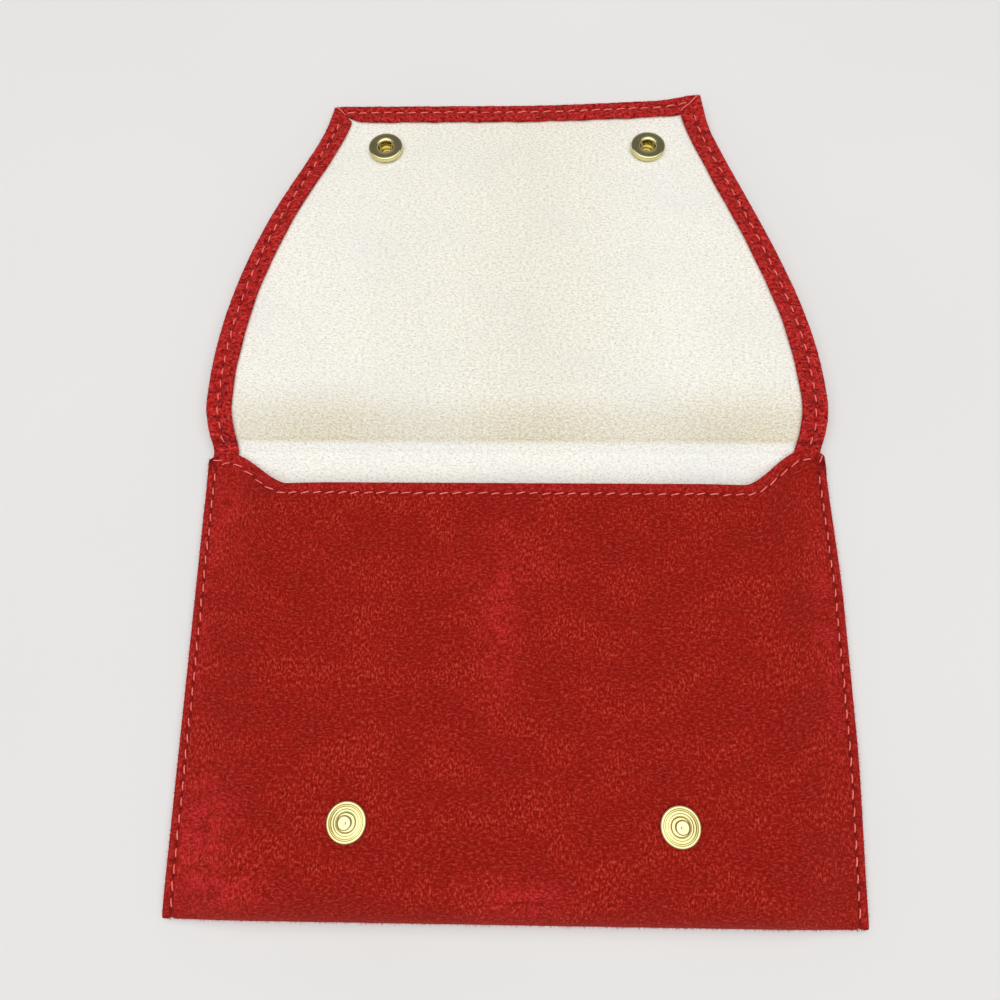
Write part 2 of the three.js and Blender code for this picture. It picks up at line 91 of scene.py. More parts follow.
# Seams
SEAM_INSET = 2.35  # from the pocket's edge to the side seam
MOUTH_INSET = 2.8
HEM_SEAM = 3.45  # from the flap's edge to its seam
TIP_SEAM = 2.9
MOUTH_PITCH = 3.3  # from stitch to stitch
SIDE_PITCH = 3.7
SIDE_STITCH = 2.35
MOUTH_STITCH = 2.55
TIP_STITCH = 2.75
THREAD = 0.34
GROOVE = 0.4  # depth that a seam draws the suede in
GROOVE_WIDTH = 0.5
HEM_BURIED = 0.1  # how deep the stitches of the side hems lie in the suede
MITRE_THREAD = {"left": 0.55, "right": 0.92}  # share of each tip mitre that its thread runs along
CORNER_BAR = {  # ends of the last stitch at each shoulder
    "left": ((-81.1, -1.0), (-78.4, -1.0)),
    "right": ((80.5, -0.9), (81.4, 1.2)),
}

# Turned and cut edges
TUCK = 1.5  # the turned edge starts this far under the front's shoulders
WAIST = 1.0  # how far the crease draws the turned edges in
WAIST_RUN = 4.0
MITRE_OPEN = {"left": 2.6, "right": 0.1}  # gap between the hems at each inner tip corner
OVERLAP = 0.1  # of the tip's hem over the side hems along the mitres
PINCH = 0.75  # how far the pocket's cut edges are pressed together
PINCH_RUN = 2.2
NAP_LENGTH = 0.34  # of the fibres along the suede's edges, about
NAP_THICKNESS = 12.0  # fibres in a millimetre of edge

# Middle, half width, half length and strength of each patch of the front that handling has rubbed lighter
RUBBED = [
    (-3.5, -42, 5, 20, 0.65),
    (-2, -30, 14, 6, 0.35),
    (-74, -96, 9, 15, 1.0),
    (-66, -105, 10, 6, 0.7),
    (-75.5, -17, 6, 15, 0.6),
    (2, -106, 9, 4, 0.9),
    (77, -40, 3.5, 30, 0.5),
    (-79, -30, 3, 40, 0.45),
]

# Where this pouch is not quite even
SWAY = -1.1  # the flap leans this far to the left
SWAY_PLACE = 52.0  # beyond the bend, where it leans most
SWAY_RUN = 32.0
TIP_SKEW = 1.2  # the tip's right corner reaches this much further, and its left corner this much less
SKEW_RUN = 40.0
CURL = 1.6  # the tip's right corner stands up this much
CURL_RUN = 13.0
MOUTH_STRETCH = 0.8  # the mouth's edge has drawn up this much
SLOPE_HALF = 60.0  # half width of the mouth up to where its shoulders rise
SLOPE_RUN = 15.5
SHOULDER_LIFT = 0.9  # the mouth's edge swells up this much at its shoulders
LIFT_END = 77.0  # from here the swelling fades to the sides
SLANT = 1.9  # the right shoulder stands this much higher
SLANT_RUN = 26.0
CORNER_ROUND = (2.2, 1.5)  # how far in and how far down the shoulder's corners are rounded
SOIL_AND_SHADE_FROM = 2.6  # beyond the crease, where the lining is soiled and has painted shade
SOIL_AND_SHADE_RUN = 17.0
BULGE = 1.3  # the pocket's right side swells out this much
SHOULDER_PINCH = 0.35  # the pocket's side edges come in this much at the shoulder tops

SHEET = SUEDE + GLUE + LINING
HEM_MIDDLE = SHEET + GLUE + SUEDE / 2  # middle of the turned edge over the sheet's underside
HEM_TOP = SHEET + GLUE + SUEDE
FOLD_RADIUS = (HEM_MIDDLE - SUEDE / 2) / 2  # of the turned edge, at the middle of the suede
EDGE = SUEDE / 2 + FOLD_RADIUS  # from the start of the turned edge's bend to its outermost point
LINING_MIDDLE = SUEDE + GLUE + LINING / 2
SEAM_HEIGHT = 2 * SHEET + GLUE
MOUTH_HEIGHT = 2 * SHEET + ROOM_AT_MOUTH
FOLD_LEVEL = SEAM_HEIGHT / 2
FAR = 99.0  # stands for a distance that is too large to matter


# Places read from the frame
def corners(node):
    low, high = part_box(node)
    return np.array(low) / MM, np.array(high) / MM


JOINTS = {joint["name"]: np.array(joint["pos_m"]) / MM for joint in frame["joints"]}
CREASE = JOINTS["crease"]
BEND = JOINTS["bend"]
SIDES = {"left": -1, "right": 1}
STUDS = {side: np.mean(corners(f"stud_{side}"), axis=0) for side in SIDES}
SOCKETS = {side: np.mean(corners(f"socket_{side}"), axis=0) for side in SIDES}

HALF = corners("pocket_suede")[1][0]
BEND_HALF = corners("fold_suede")[1][0]
SHOULDER = CREASE[1] - CREASE_RISE
BOTTOM = corners("pocket_suede")[0][1]
TIP = corners("flap_suede")[1][1]
HEM_START = SHOULDER - TUCK
HEM_JOIN = HEM_START - 0.8  # the pocket's back is joined to the hemmed strip here
ROLL_Y = BOTTOM + BOTTOM_ROLL

# The strip leaves the crease at this angle, and the middle of the sheets runs through both joints' axes
MIDDLE = HEM_TOP / 2
JOINT_SPAN = math.hypot(BEND[1] - CREASE[1], BEND[2] - CREASE[2])
STRIP_TILT = math.atan2(BEND[2] - CREASE[2], BEND[1] - CREASE[1]) + math.asin(MIDDLE / JOINT_SPAN)
SOCKET_RUN = SOCKETS["left"][1] - SNAP_MIDDLE * math.sin(SNAP_TILT) - BEND[1]
TIP_RUN = TIP - BEND[1]
TIP_MARGIN = TIP_RUN - SOCKET_RUN
FLAP_RISE = BEND[2] - MIDDLE
SOCKET_DROP = FLAP_RISE - TIP_MARGIN * (math.tan(SNAP_TILT) + math.tan(TIP_SLOPE)) / 2
SLOPE_START = SOCKET_RUN - 2 * SOCKET_DROP / math.tan(SNAP_TILT)
SWELL = SEAT_RISE_RUN * math.tan(SNAP_TILT) / STEEPEST


def smooth(t):
    t = np.clip(t, 0, 1)
    return t * t * (3 - 2 * t)


def bell(distance, width):
    """One at distance 0, falling to nothing over about twice the width."""
    return np.exp(-((np.asarray(distance, float) / width) ** 2))


def stacked(*parts):
    """Places or other rows of numbers, from their parts."""
    return np.stack(np.broadcast_arrays(*parts), axis=-1)


def largest(*values):
    return np.max(stacked(*values), axis=-1)


def ruffle(points, seed=0.0):
    """Smooth noise from about -1 to 1 at each point, with bumps about 1 wide."""
    shift = Vector((seed * 17.3, seed * 5.1, seed * 9.7))
    values = [noise.noise(Vector(point) + shift) for point in points.reshape(-1, 3)]
    return np.reshape(values, points.shape[:-1])


# Shape of the pocket's front, as it lies over the back
def mouth_edge(x):
    out = np.abs(x)
    rise = np.clip((out - SLOPE_HALF) / SLOPE_RUN, 0, 1)
    lift = SHOULDER_LIFT * (1 - smooth((out - LIFT_END) / (HALF - LIFT_END)))
    down = (MOUTH_DROP - MOUTH_STRETCH + lift) * (1 - 0.6 * smooth(rise) - 0.4 * rise) - lift
    slanted = SLANT * smooth((x - HALF + SLANT_RUN) / SLANT_RUN)
    across, depth = CORNER_ROUND
    cut = depth * (1 - np.sqrt(1 - np.clip((out - HALF + across) / across, 0, 1) ** 2))
    return SHOULDER + slanted - down - cut


def front_height(x, y):
    """Height of the front's outer face."""
    to_seam = HALF - np.abs(x)
    at_shoulder = smooth((SHOULDER - y) / MOUTH_RUN)
    near_shoulder = smooth((np.abs(x) - MOUTH_HALF + SHOULDER_RUN) / (2 * SHOULDER_RUN))
    full = smooth(to_seam / SEAM_RUN) * (1 - (1 - at_shoulder) * near_shoulder)
    raised = SWELL * smooth((STUDS["left"][1] - y) / SEAT_RISE_RUN + 0.5)
    height = SEAM_HEIGHT + (MOUTH_HEIGHT + raised - SEAM_HEIGHT) * full
    at_corner = smooth((y - SHOULDER + 5) / 4) * (1 - smooth((to_seam - 8) / 6))
    pinched = PINCH * (1 - smooth(to_seam / PINCH_RUN)) * (1 - at_corner)
    return height - pinched + 0.2 * at_corner


def front_outer(x, y):
    """Height of the front's outer face, round the bottom fold too."""
    turn = np.clip((ROLL_Y - y) / BOTTOM_ROLL, 0, 1)
    rolled = FOLD_LEVEL + (front_height(x, np.maximum(y, ROLL_Y)) - FOLD_LEVEL) * np.sqrt(1 - turn**2)
    return np.where(y < ROLL_Y, rolled, front_height(x, y))


def settled(x, y, z):
    """The even pocket's places, moved to where this pouch's edges lie."""
    outer = np.clip(x / HALF, -1, 1)
    down = (SHOULDER - y) / (SHOULDER - BOTTOM)
    swollen = BULGE * smooth(down / 0.35) * (1 - smooth((down - 0.62) / 0.38)) * smooth((outer - 0.2) / 0.8)
    pinched = SHOULDER_PINCH * smooth((y - SHOULDER + 5) / 5) * smooth((np.abs(outer) - 0.9) / 0.1)
    return stacked(x + swollen - pinched * np.sign(x), y, z)


# The flap's path seen from the side, along the middle of its sheets
def flap_height(run):
    """Height of the flap's underside at a distance from the bend."""
    steep = math.tan(SNAP_TILT)
    sloped = np.clip(run - SLOPE_START, 0, SOCKET_RUN - SLOPE_START)
    past = np.maximum(run - SOCKET_RUN, 0)
    ease = (steep - math.tan(TIP_SLOPE)) / TIP_MARGIN
    bowed = steep * sloped**2 / (2 * (SOCKET_RUN - SLOPE_START))
    return FLAP_RISE - bowed - steep * past + ease * past**2 / 2


def side_path():
    """Distances along the sheet, and the places and normals there. The distance is y up to the crease."""
    step, soft_reach = 0.1, 30
    turn = np.linspace(0, STRIP_TILT, 6)[1:]
    run = np.arange(step, TIP_RUN + 3, step)
    points = [stacked(np.arange(BOTTOM, CREASE[1], step), MIDDLE)]
    points.append(stacked(CREASE[1] + MIDDLE * np.sin(turn), CREASE[2] - MIDDLE * np.cos(turn)))
    points.append(np.linspace(points[-1][-1], BEND[1:], 120)[1:])
    points.append(stacked(BEND[1] + run, flap_height(run) + MIDDLE))
    line = np.concatenate(points)
    along = np.concatenate([[0], np.cumsum(np.hypot(*np.diff(line, axis=0).T))]) + BOTTOM
    even = np.arange(along[0], along[-1], step)
    line = stacked(*(np.interp(even, along, part) for part in line.T))
    soft = bell(np.arange(-soft_reach, soft_reach + 1) * step, 1.5)
    padded = np.pad(line, ((soft_reach, soft_reach), (0, 0)), mode="reflect", reflect_type="odd")
    line = stacked(*(np.convolve(part, soft / soft.sum(), mode="valid") for part in padded.T))
    slope = np.gradient(line, even, axis=0)
    slope /= np.linalg.norm(slope, axis=1)[:, None]
    return even, line, stacked(-slope[:, 1], slope[:, 0])


PATH_AT, PATH_LINE, PATH_NORMAL = side_path()
TIP_AT = float(np.interp(TIP, PATH_LINE[:, 0], PATH_AT))
BEND_AT = float(np.interp(BEND[1], PATH_LINE[:, 0], PATH_AT))
CREASE_AT = float(CREASE[1])
SPLIT_AT = (CREASE_AT + BEND_AT) / 2  # the sheets are parted here, between the crease and the bend


def on_sheet(x, along, height):
    """Places at a distance along the sheet and a height over its underside."""
    near_tip = smooth((along - TIP_AT) / SKEW_RUN + 1)
    skew = TIP_SKEW * near_tip * (2 * np.clip(x / TIP_HALF, 0, 1) ** 1.5 - 1)
    curl = CURL * smooth(1 - np.hypot(x - TIP_HALF, along - TIP_AT) / CURL_RUN)
    sway = SWAY * bell(along - BEND_AT - SWAY_PLACE, SWAY_RUN)
    y, z = (np.interp(along, PATH_AT, part) for part in PATH_LINE.T)
    ny, nz = (np.interp(along, PATH_AT, part) * (height - MIDDLE) for part in PATH_NORMAL.T)
    return stacked(x + sway, y + skew + ny, z + curl + nz)


def flap_half(along):
    """Half width of the strip and flap, to the outermost point of the turned edge."""
    t = np.linspace(0, 1, 400)[:, None]
    pulls = [(BEND_HALF, 0), (BEND_HALF, SHOULDER_PULL)]
    pulls += [(TIP_HALF + TIP_FLARE, TIP_RUN - TIP_PULL), (TIP_HALF, TIP_RUN)]
    weights = [(1 - t) ** 3, 3 * t * (1 - t) ** 2, 3 * t**2 * (1 - t), t**3]
    curve = sum(weight * np.array(pull) for weight, pull in zip(weights, pulls))
    half = np.interp(along - BEND_AT, curve[:, 1], curve[:, 0])
    half = HALF + (half - HALF) * smooth((along - CREASE_AT) / (BEND_AT - CREASE_AT))
    return half - WAIST * bell(along - CREASE_AT, WAIST_RUN)


def outwards(*way, like):
    """The same way out for each of some places."""
    return np.tile(np.array(way, float), (len(like), 1))


# Grids of points and their faces
def spread(length, near, step):
    """Distances from 0 to the length: close together as near says, then in even steps."""
    near = [d for d in near if d < length - step / 2]
    count = max(1, math.ceil((length - near[-1]) / step))
    return np.concatenate([near[:-1], np.linspace(near[-1], length, count + 1)])


def grid_faces(index):
    """Faces of the grid in the last two axes."""
    a, b = index[..., :-1, :-1], index[..., :-1, 1:]
    c, d = index[..., 1:, 1:], index[..., 1:, :-1]
    return stacked(a, b, c, d).reshape(-1, 4)


def tube_faces(shape, closed=False):
    """Faces of tubes whose rings are the last axis: with both ends covered, or closed into a ring."""
    index = np.arange(math.prod(shape)).reshape(shape)
    rings = np.concatenate([index, index[..., :1]], axis=-1)
    if closed:
        return grid_faces(np.concatenate([rings, rings[:1]])).tolist()
    ends = index[..., 0, ::-1], index[..., -1, :]
    return grid_faces(rings).tolist() + np.reshape(ends, (-1, shape[-1])).tolist()


def point_normals(points, quads):
    corner = points[quads]
    face = np.cross(corner[:, 2] - corner[:, 0], corner[:, 3] - corner[:, 1])
    normals = np.zeros(points.shape)
    for k in range(4):
        np.add.at(normals, quads[:, k], face)
    return normals / np.maximum(np.linalg.norm(normals, axis=1), 1e-12)[:, None]


def without_repeats(face):
    return list(dict.fromkeys(int(v) for v in face))


class Sheet:
    """A sheet of cloth or suede: the grid through its middle, and what is known of each point."""

    KNOWN = ("rim", "draw", "shade", "rub_and_highlight", "tuft")

    def __init__(self, thickness):
        self.thickness = thickness
        self.points, self.cut, self.quads = [], [], []
        self.known = {name: [] for name in self.KNOWN}
        self.count = 0

    def add(self, points, cut, rim, draw=0.0, shade=0.0, rub_and_highlight=0.0, tuft=0.0):
        """Points in rows and columns, with their place on the flat cut, the distance to the sheet's edge, the
        depth that seams draw the outer face in, how dark painted shade makes it (on the lining, with soil),
        how much lighter it is where rubbed and where a highlight is painted, and how far its nap stands in
        tufts, which brings painted shade and highlights."""
        shape = points.shape[:2]
        self.points.append(points.reshape(-1, 3))
        self.cut.append(np.broadcast_to(cut, (*shape, 2)).reshape(-1, 2))
        for name, value in zip(self.KNOWN, (rim, draw, shade, rub_and_highlight, tuft)):
            self.known[name].append(np.broadcast_to(value, shape).ravel())
        index = self.count + np.arange(math.prod(shape)).reshape(shape)
        self.count += index.size
        return index

    def join(self, index):
        self.quads.append(grid_faces(index))

    def close(self):
        """Gives the sheet its thickness, with rounded edges and a hole for each socket's shank."""
        self.points = np.concatenate(self.points)
        self.cut = np.concatenate(self.cut)
        self.known = {name: np.concatenate(values) for name, values in self.known.items()}
        self.quads = np.concatenate(self.quads)
        normals = point_normals(self.points, self.quads)
        share = 1 - np.clip(self.known["rim"] / (self.thickness / 2), 0, 1)
        fullness = np.sqrt(1 - share**2)
        half = fullness * self.thickness / 2
        self.outer = self.points + normals * (half - self.known["draw"] * fullness)[:, None]
        self.inner = self.points - normals * half[:, None]
        for x, y, _ in SOCKETS.values():
            away = np.hypot(self.points[:, 0] - x, self.points[:, 1] - y)
            self.quads = self.quads[away[self.quads].min(axis=1) > SHANK_RADIUS]
        return self

    def solid(self, quads):
        """Closed mesh of some of the sheet's faces: points, faces, and the sheet's point each is from."""
        used = np.unique(quads)
        on_rim = self.known["rim"][used] < 1e-6
        inside = used[~on_rim]
        front = np.full(self.count, -1)
        front[used] = np.arange(len(used))
        back = front.copy()
        back[inside] = len(used) + np.arange(len(inside))
        faces = [without_repeats(face) for face in (*front[quads], *back[quads][:, ::-1])]
        edges = np.concatenate([quads[:, [k, (k + 1) % 4]] for k in range(4)])
        edges = edges[edges[:, 0] != edges[:, 1]]
        _, first, uses = np.unique(np.sort(edges, axis=1), axis=0, return_index=True, return_counts=True)
        for a, b in edges[first[uses == 1]]:
            wall = without_repeats([front[b], front[a], back[a], back[b]])
            if len(wall) > 2:
                faces.append(wall)
        points = np.concatenate([self.outer[used], self.inner[inside]])
        return points, faces, np.concatenate([used, inside])


# Points across and along the sheets, closer together at edges and seams
NEAR_EDGE = [0, 0.12, 0.28, 0.45, 0.7, 1, 1.35, 1.7, 1.95, 2.15, 2.35, 2.55, 2.8, 3.15, 3.6, 4.3, 5.3, 6.6, 8]
NEAR_SIDE_FOLD = [0, 0.4, 0.9, 1.3, 1.6, 1.85, 2.05, 2.2, 2.4, 2.65, 3.0, 3.5, 4.1]
NEAR_TIP_FOLD = [0, 0.4, 0.9, 1.2, 1.4, 1.6, 1.8, 2.0, 2.25, 2.6, 3.1, 3.7]
NEAR_CUT = np.array([0.3, 0.14, 0.04, 0])
NEAR_END = np.array([0, 0.12, 0.3, 0.6])
FROM_SIDE = spread(HALF, NEAR_EDGE, 1.05)
ACROSS = np.concatenate([-(HALF - FROM_SIDE[:-1]), (HALF - FROM_SIDE)[::-1]]) / HALF
INWARD = 1 - np.abs(ACROSS)
EVEN_X = ACROSS * HALF
ROW_STEP = 0.5
FRONT_STEP = 0.95
BACK_ROWS = 66
ROLL_ROWS = 14
BACK_ROLL_ROWS = 8
BACK_LIFT = 0.3  # of the back's cut edges
FOLD_TURN = np.linspace(-math.pi / 2, math.pi / 2, 10)[1:]  # round a turned edge
FOLD_OUT = FOLD_RADIUS * np.cos(FOLD_TURN)
FOLD_UP = SUEDE / 2 + FOLD_RADIUS * (1 + np.sin(FOLD_TURN))
CORNER_TURN = np.linspace(0, math.pi / 2, 8)[1:-1]  # round the tip's corners


def pocket_rows(inset, trim=0.0):
    """The front from the mouth down, less a trimmed strip, round the bottom fold and up the back. Also the
    length along the sheet to each row, and the number of rows down to the bottom fold."""
    mouth = mouth_edge(EVEN_X) - trim
    length = SHOULDER - MOUTH_DROP - ROLL_Y
    share = spread(length, NEAR_EDGE, FRONT_STEP)[:, None] / length
    y = mouth + (ROLL_Y - mouth) * share
    parts = [(y, front_height(EVEN_X, y) - inset)]
    turn = np.linspace(math.pi / 2, 0, ROLL_ROWS)[1:, None]
    high = front_height(EVEN_X, ROLL_Y) - inset - FOLD_LEVEL
    parts.append((ROLL_Y - (BOTTOM_ROLL - inset) * np.cos(turn), FOLD_LEVEL + high * np.sin(turn)))
    turn = np.linspace(math.pi / 2, 0, BACK_ROLL_ROWS)[1:, None]
    y = BOTTOM + BACK_ROLL - (BACK_ROLL - inset) * np.sin(turn)
    parts.append((y, FOLD_LEVEL - (FOLD_LEVEL - inset) * np.cos(turn)))
    y = np.linspace(BOTTOM + BACK_ROLL, HEM_JOIN, BACK_ROWS)[1:, None]
    at_corner = smooth((y - SHOULDER + 5) / 3)
    lift = BACK_LIFT * (1 - smooth((HALF - np.abs(EVEN_X)) / PINCH_RUN)) * (1 - at_corner)
    parts.append((y, inset + lift))
    rows = np.concatenate([stacked(EVEN_X, y, z) for y, z in parts])
    steps = np.linalg.norm(np.diff(rows[:, len(EVEN_X) // 2], axis=0), axis=1)
    down = np.concatenate([[0], np.cumsum(steps)]) - steps.sum() + HEM_JOIN
    return rows, down[:, None], len(share)


def flap_stations(end):
    """Distances along the sheet for its rows up to an end, one of them where the sheets are parted."""
    even = np.arange(HEM_START + 1, end - 1, ROW_STEP)
    even = even[np.abs(even - SPLIT_AT) > ROW_STEP / 3]
    return np.sort(np.concatenate([HEM_START + NEAR_END, even, [SPLIT_AT], end - NEAR_END]))[:, None]


def at_hole(along, pitch=SIDE_PITCH):
    """One at each hole of a seam, where one stitch ends and the next starts, and nothing between them."""
    return 0.5 + 0.5 * np.cos(2 * math.pi * along / pitch)


def seam_draw(distance, holes, depth=GROOVE):
    """Depth that a seam draws the suede in: most at its holes."""
    return depth * (0.6 * bell(distance, GROOVE_WIDTH) + 0.6 * holes * bell(distance, 1.6 * GROOVE_WIDTH))


def pucker(along, depth, seam, seed):
    """Height of the small folds across a turned edge: a tuft between two holes, and irregular creases."""
    fine = ruffle(stacked(depth / 2.0, along / 0.95, seed * 7.0))
    broad = ruffle(stacked(depth / 5.0, along / 3.4, seed * 7.0), 2)
    waves = np.clip(0.5 + 0.9 * fine + 0.6 * broad, 0, 1.3)
    tufts = (1 - at_hole(along - 0.3 * (depth - seam) + 0.8 * broad)) * bell(depth - seam + 1, 2.2)
    return (0.28 + 0.22 * bell(along - CREASE_AT - 3, 7)) * waves + 0.2 * tufts


def rubbed(x, y):
    """Where handling has laid the front's nap down, so that it shows lighter."""
    return largest(*(share * bell(np.hypot((x - x0) / wide, (y - y0) / long), 1)
                     for x0, y0, wide, long, share in RUBBED))


def add_pocket(sheet):
    """The suede's front, bottom fold and back."""
    rows, down, front = pocket_rows(SUEDE / 2)
    x, y, z = np.moveaxis(rows, -1, 0)
    to_side = HALF - np.abs(EVEN_X)
    to_mouth = np.full(x.shape, FAR)
    slope = np.gradient(mouth_edge(EVEN_X), EVEN_X)
    to_mouth[:front] = (mouth_edge(x[:front]) - y[:front]) / np.sqrt(1 + slope**2)
    side_holes, mouth_holes = at_hole(y), at_hole(x, MOUTH_PITCH)
    side_draw = seam_draw(to_side - SEAM_INSET, side_holes)
    draw = np.maximum(side_draw, seam_draw(to_mouth - MOUTH_INSET, mouth_holes))
    on_front = (np.arange(len(rows)) < front + ROLL_ROWS - 4)[:, None]
    for stud_x, stud_y, _ in STUDS.values():
        away = np.hypot(x - stud_x, y - stud_y)
        draw = np.maximum(draw, 0.3 * bell(away - STUD_RADIUS - 0.4, 1.0) * on_front)
    side_shade = bell(to_side - SEAM_INSET, 0.4) * (0.35 + 0.55 * side_holes)
    mouth_shade = bell(to_mouth - MOUTH_INSET, 0.35) * (0.15 + 0.5 * mouth_holes)
    # Painted shade at the front's top corners, where it meets the turned edges
    at_corner = bell(np.hypot(to_side - 0.5, y - SHOULDER + 1), 1.8) * on_front
    # Lighter along the mouth and the cut sides, as well as in the rubbed patches
    at_edge = np.maximum(bell(to_mouth - 1.2, 1.5), 0.8 * bell(to_side - 1, 1.3))
    rub_and_highlight = np.maximum(rubbed(x, y), 0.5 * at_edge) * on_front
    shade = largest(side_shade, mouth_shade, at_corner)
    return sheet.add(settled(x, y, z), stacked(EVEN_X, down), np.minimum(to_side, to_mouth), draw, shade, rub_and_highlight)


def add_flap(sheet, along, half):
    """The suede of the strip and flap, up to where its edges turn."""
    side_draw = seam_draw(EDGE + INWARD * (half - EDGE) - HEM_SEAM, at_hole(along))
    tip_draw = seam_draw(TIP_AT - along - TIP_SEAM, at_hole(ACROSS * TIP_HALF))
    draw = np.maximum(side_draw, tip_draw) * smooth((along - CREASE_AT) / 2)
    rim = HALF * INWARD + (along - HEM_START)
    main = on_sheet(ACROSS * (half - EDGE), along, SUEDE / 2)
    # Painted shade in the seams' grooves
    return sheet.add(main, stacked(ACROSS * half, along), rim, draw, 0.8 * draw / GROOVE)


def inward_steps(reach, near):
    """Shares of the way from a turned edge's fold to its cut edge."""
    steps = spread(reach, near, 0.5)[1:]
    return np.concatenate([steps[:-1], reach - NEAR_CUT]) / reach


def add_side_hem(sheet, along, half, sign):
    """The suede turned over onto the lining along one side."""
    reach = HEM - EDGE
    inward = inward_steps(reach, NEAR_SIDE_FOLD)
    to_tip = np.clip((TIP_AT - EDGE - along) / (TIP_HEM - EDGE), 0, 1)
    wave = 0.07 * np.sin(along / 4.1 + sign) + 0.05 * np.sin(along / 1.9 + 2 * sign)
    width = (reach + wave) * to_tip
    x = half - EDGE + np.concatenate([FOLD_OUT + 0 * width, -width * inward], axis=1)
    inner = np.concatenate([np.full(FOLD_OUT.shape, FAR) + 0 * width, width * (1 - inward)], axis=1)
    height = np.concatenate([FOLD_UP, np.full(len(inward), HEM_MIDDLE)])
    depth = np.maximum(half - x, 0)
    folds = pucker(along, depth, HEM_SEAM, sign) * smooth(depth / 1.2)
    crown = 0.12 * smooth(inner / 1.5)
    from_start = smooth((along - HEM_START - 1.2) / 2.5)
    height = height + (folds + crown) * smooth(inner / 0.8) * from_start * smooth(to_tip / 0.5)
    to_end = np.where(inner == FAR, FAR, TIP_AT - EDGE - along)
    rim = np.minimum(np.minimum(inner, along - HEM_START), to_end)
    holes = at_hole(along)
    draw = seam_draw(depth - HEM_SEAM, holes, 1.2 * GROOVE) * smooth(inner / 0.6)
    # Painted shade in the stitch holes, across the crease, and in the low places between the puckers
    hole_shade = bell(depth - HEM_SEAM, 0.3 + 0.4 * holes) * (0.05 + 0.6 * holes)
    waist_shade = bell(along - CREASE_AT - 3.2, 0.9)
    hollow_shade = 0.7 * np.clip(1 - 3.0 * folds, 0, 1) * bell(depth - HEM_SEAM, 3)
    # Lighter all over, with a painted highlight along the fold, and less across the crease's painted shade
    lighter_with_highlight = (0.7 + 0.4 * bell(depth - 1.3, 1.1)) * (1 - waist_shade) * from_start
    cut = stacked(sign * (half + depth), along)
    shade = largest(hole_shade, 0.75 * waist_shade, hollow_shade)
    return sheet.add(on_sheet(sign * x, along, height), cut, rim, draw, shade, lighter_with_highlight, 1.0)


def add_tip_hem(sheet):
    """The suede turned over onto the lining along the tip, cut to a mitre at both ends."""
    reach = TIP_HEM - EDGE
    inward = inward_steps(reach, NEAR_TIP_FOLD)[:, None]
    wave = 0.1 * np.sin(ACROSS * 21) + 0.08 * np.sin(ACROSS * 47 + 1)
    width = reach + wave
    turns = len(FOLD_TURN)
    along = TIP_AT - EDGE + np.concatenate([FOLD_OUT[:, None] + 0 * width, -width * inward])
    share = np.concatenate([np.zeros((turns, 1)), inward])
    opened = np.where(ACROSS < 0, MITRE_OPEN["left"], MITRE_OPEN["right"])
    limit = flap_half(along) - EDGE - share * (HEM - EDGE) - share**3 * opened + OVERLAP
    limit[:turns] = float(flap_half(TIP_AT - EDGE)) - EDGE
    x = ACROSS * limit
    height = np.concatenate([FOLD_UP, np.full(len(inward), HEM_MIDDLE)])[:, None]
    depth = TIP_AT - along
    to_cut = np.concatenate([np.full((turns, len(width)), FAR), width * (1 - inward)])
    rim = np.minimum(to_cut, INWARD * limit)
    rim[:turns] = FAR
    folds = 0.7 * pucker(x + 2 * FAR, depth, TIP_SEAM, 5) * smooth(depth / 1.2)
    height = height + (folds + 0.1) * smooth(rim / 0.8) * smooth(INWARD * limit / 2)
    holes = at_hole(x)
    draw = seam_draw(depth - TIP_SEAM, holes, 1.2 * GROOVE) * smooth(rim / 0.6)
    # Painted shade in the stitch holes and in the low places between the puckers
    hole_shade = bell(depth - TIP_SEAM, 0.3 + 0.3 * holes) * (0.05 + 0.5 * holes)
    shade = np.maximum(hole_shade, 0.6 * np.clip(1 - 3.6 * folds, 0, 1) * bell(depth - TIP_SEAM, 2.5))
    # Lighter all over, with a painted highlight along the fold
    lighter_with_highlight = 0.7 + 0.4 * bell(depth - 1.2, 1.0)
    return sheet.add(on_sheet(x, along, height), stacked(x, TIP_AT + depth), rim, draw, shade, lighter_with_highlight, 1.0)


def add_tip_corner(sheet, half, sign):
    """The turned edge carried round one of the tip's corners, drawn out to a point."""
    cos, sin = np.cos(CORNER_TURN), np.sin(CORNER_TURN)
    reach = FOLD_OUT[:, None] * (cos**6 + sin**6) ** (-1 / 6)
    x = sign * (half - EDGE + reach * cos)
    along = TIP_AT - EDGE + reach * sin
    return sheet.add(on_sheet(x, along, FOLD_UP[:, None]), stacked(x, along), FAR)


def suede_sheet():
    sheet = Sheet(SUEDE)
    pocket = add_pocket(sheet)
    along = flap_stations(TIP_AT - EDGE)
    half = flap_half(along)
    main = add_flap(sheet, along, half)
    sheet.join(np.concatenate([pocket, main])[:, ::-1])
    tip = add_tip_hem(sheet)
    sheet.join(np.concatenate([main[-1:], tip])[:, ::-1])
    turns = len(FOLD_TURN)
    for sign in SIDES.values():
        end = -1 if sign > 0 else 0
        hem = add_side_hem(sheet, along, half, sign)
        whole = np.concatenate([main[:, [end]], hem], axis=1)
        sheet.join(whole[:, ::-sign])
        corner = add_tip_corner(sheet, half[-1], sign)
        whole = np.concatenate([hem[-1, :turns, None], corner, tip[:turns, [end]]], axis=1)
        start = np.full((1, whole.shape[1]), main[-1, end])
        sheet.join(np.concatenate([start, whole])[:, ::sign])
    return sheet.close()


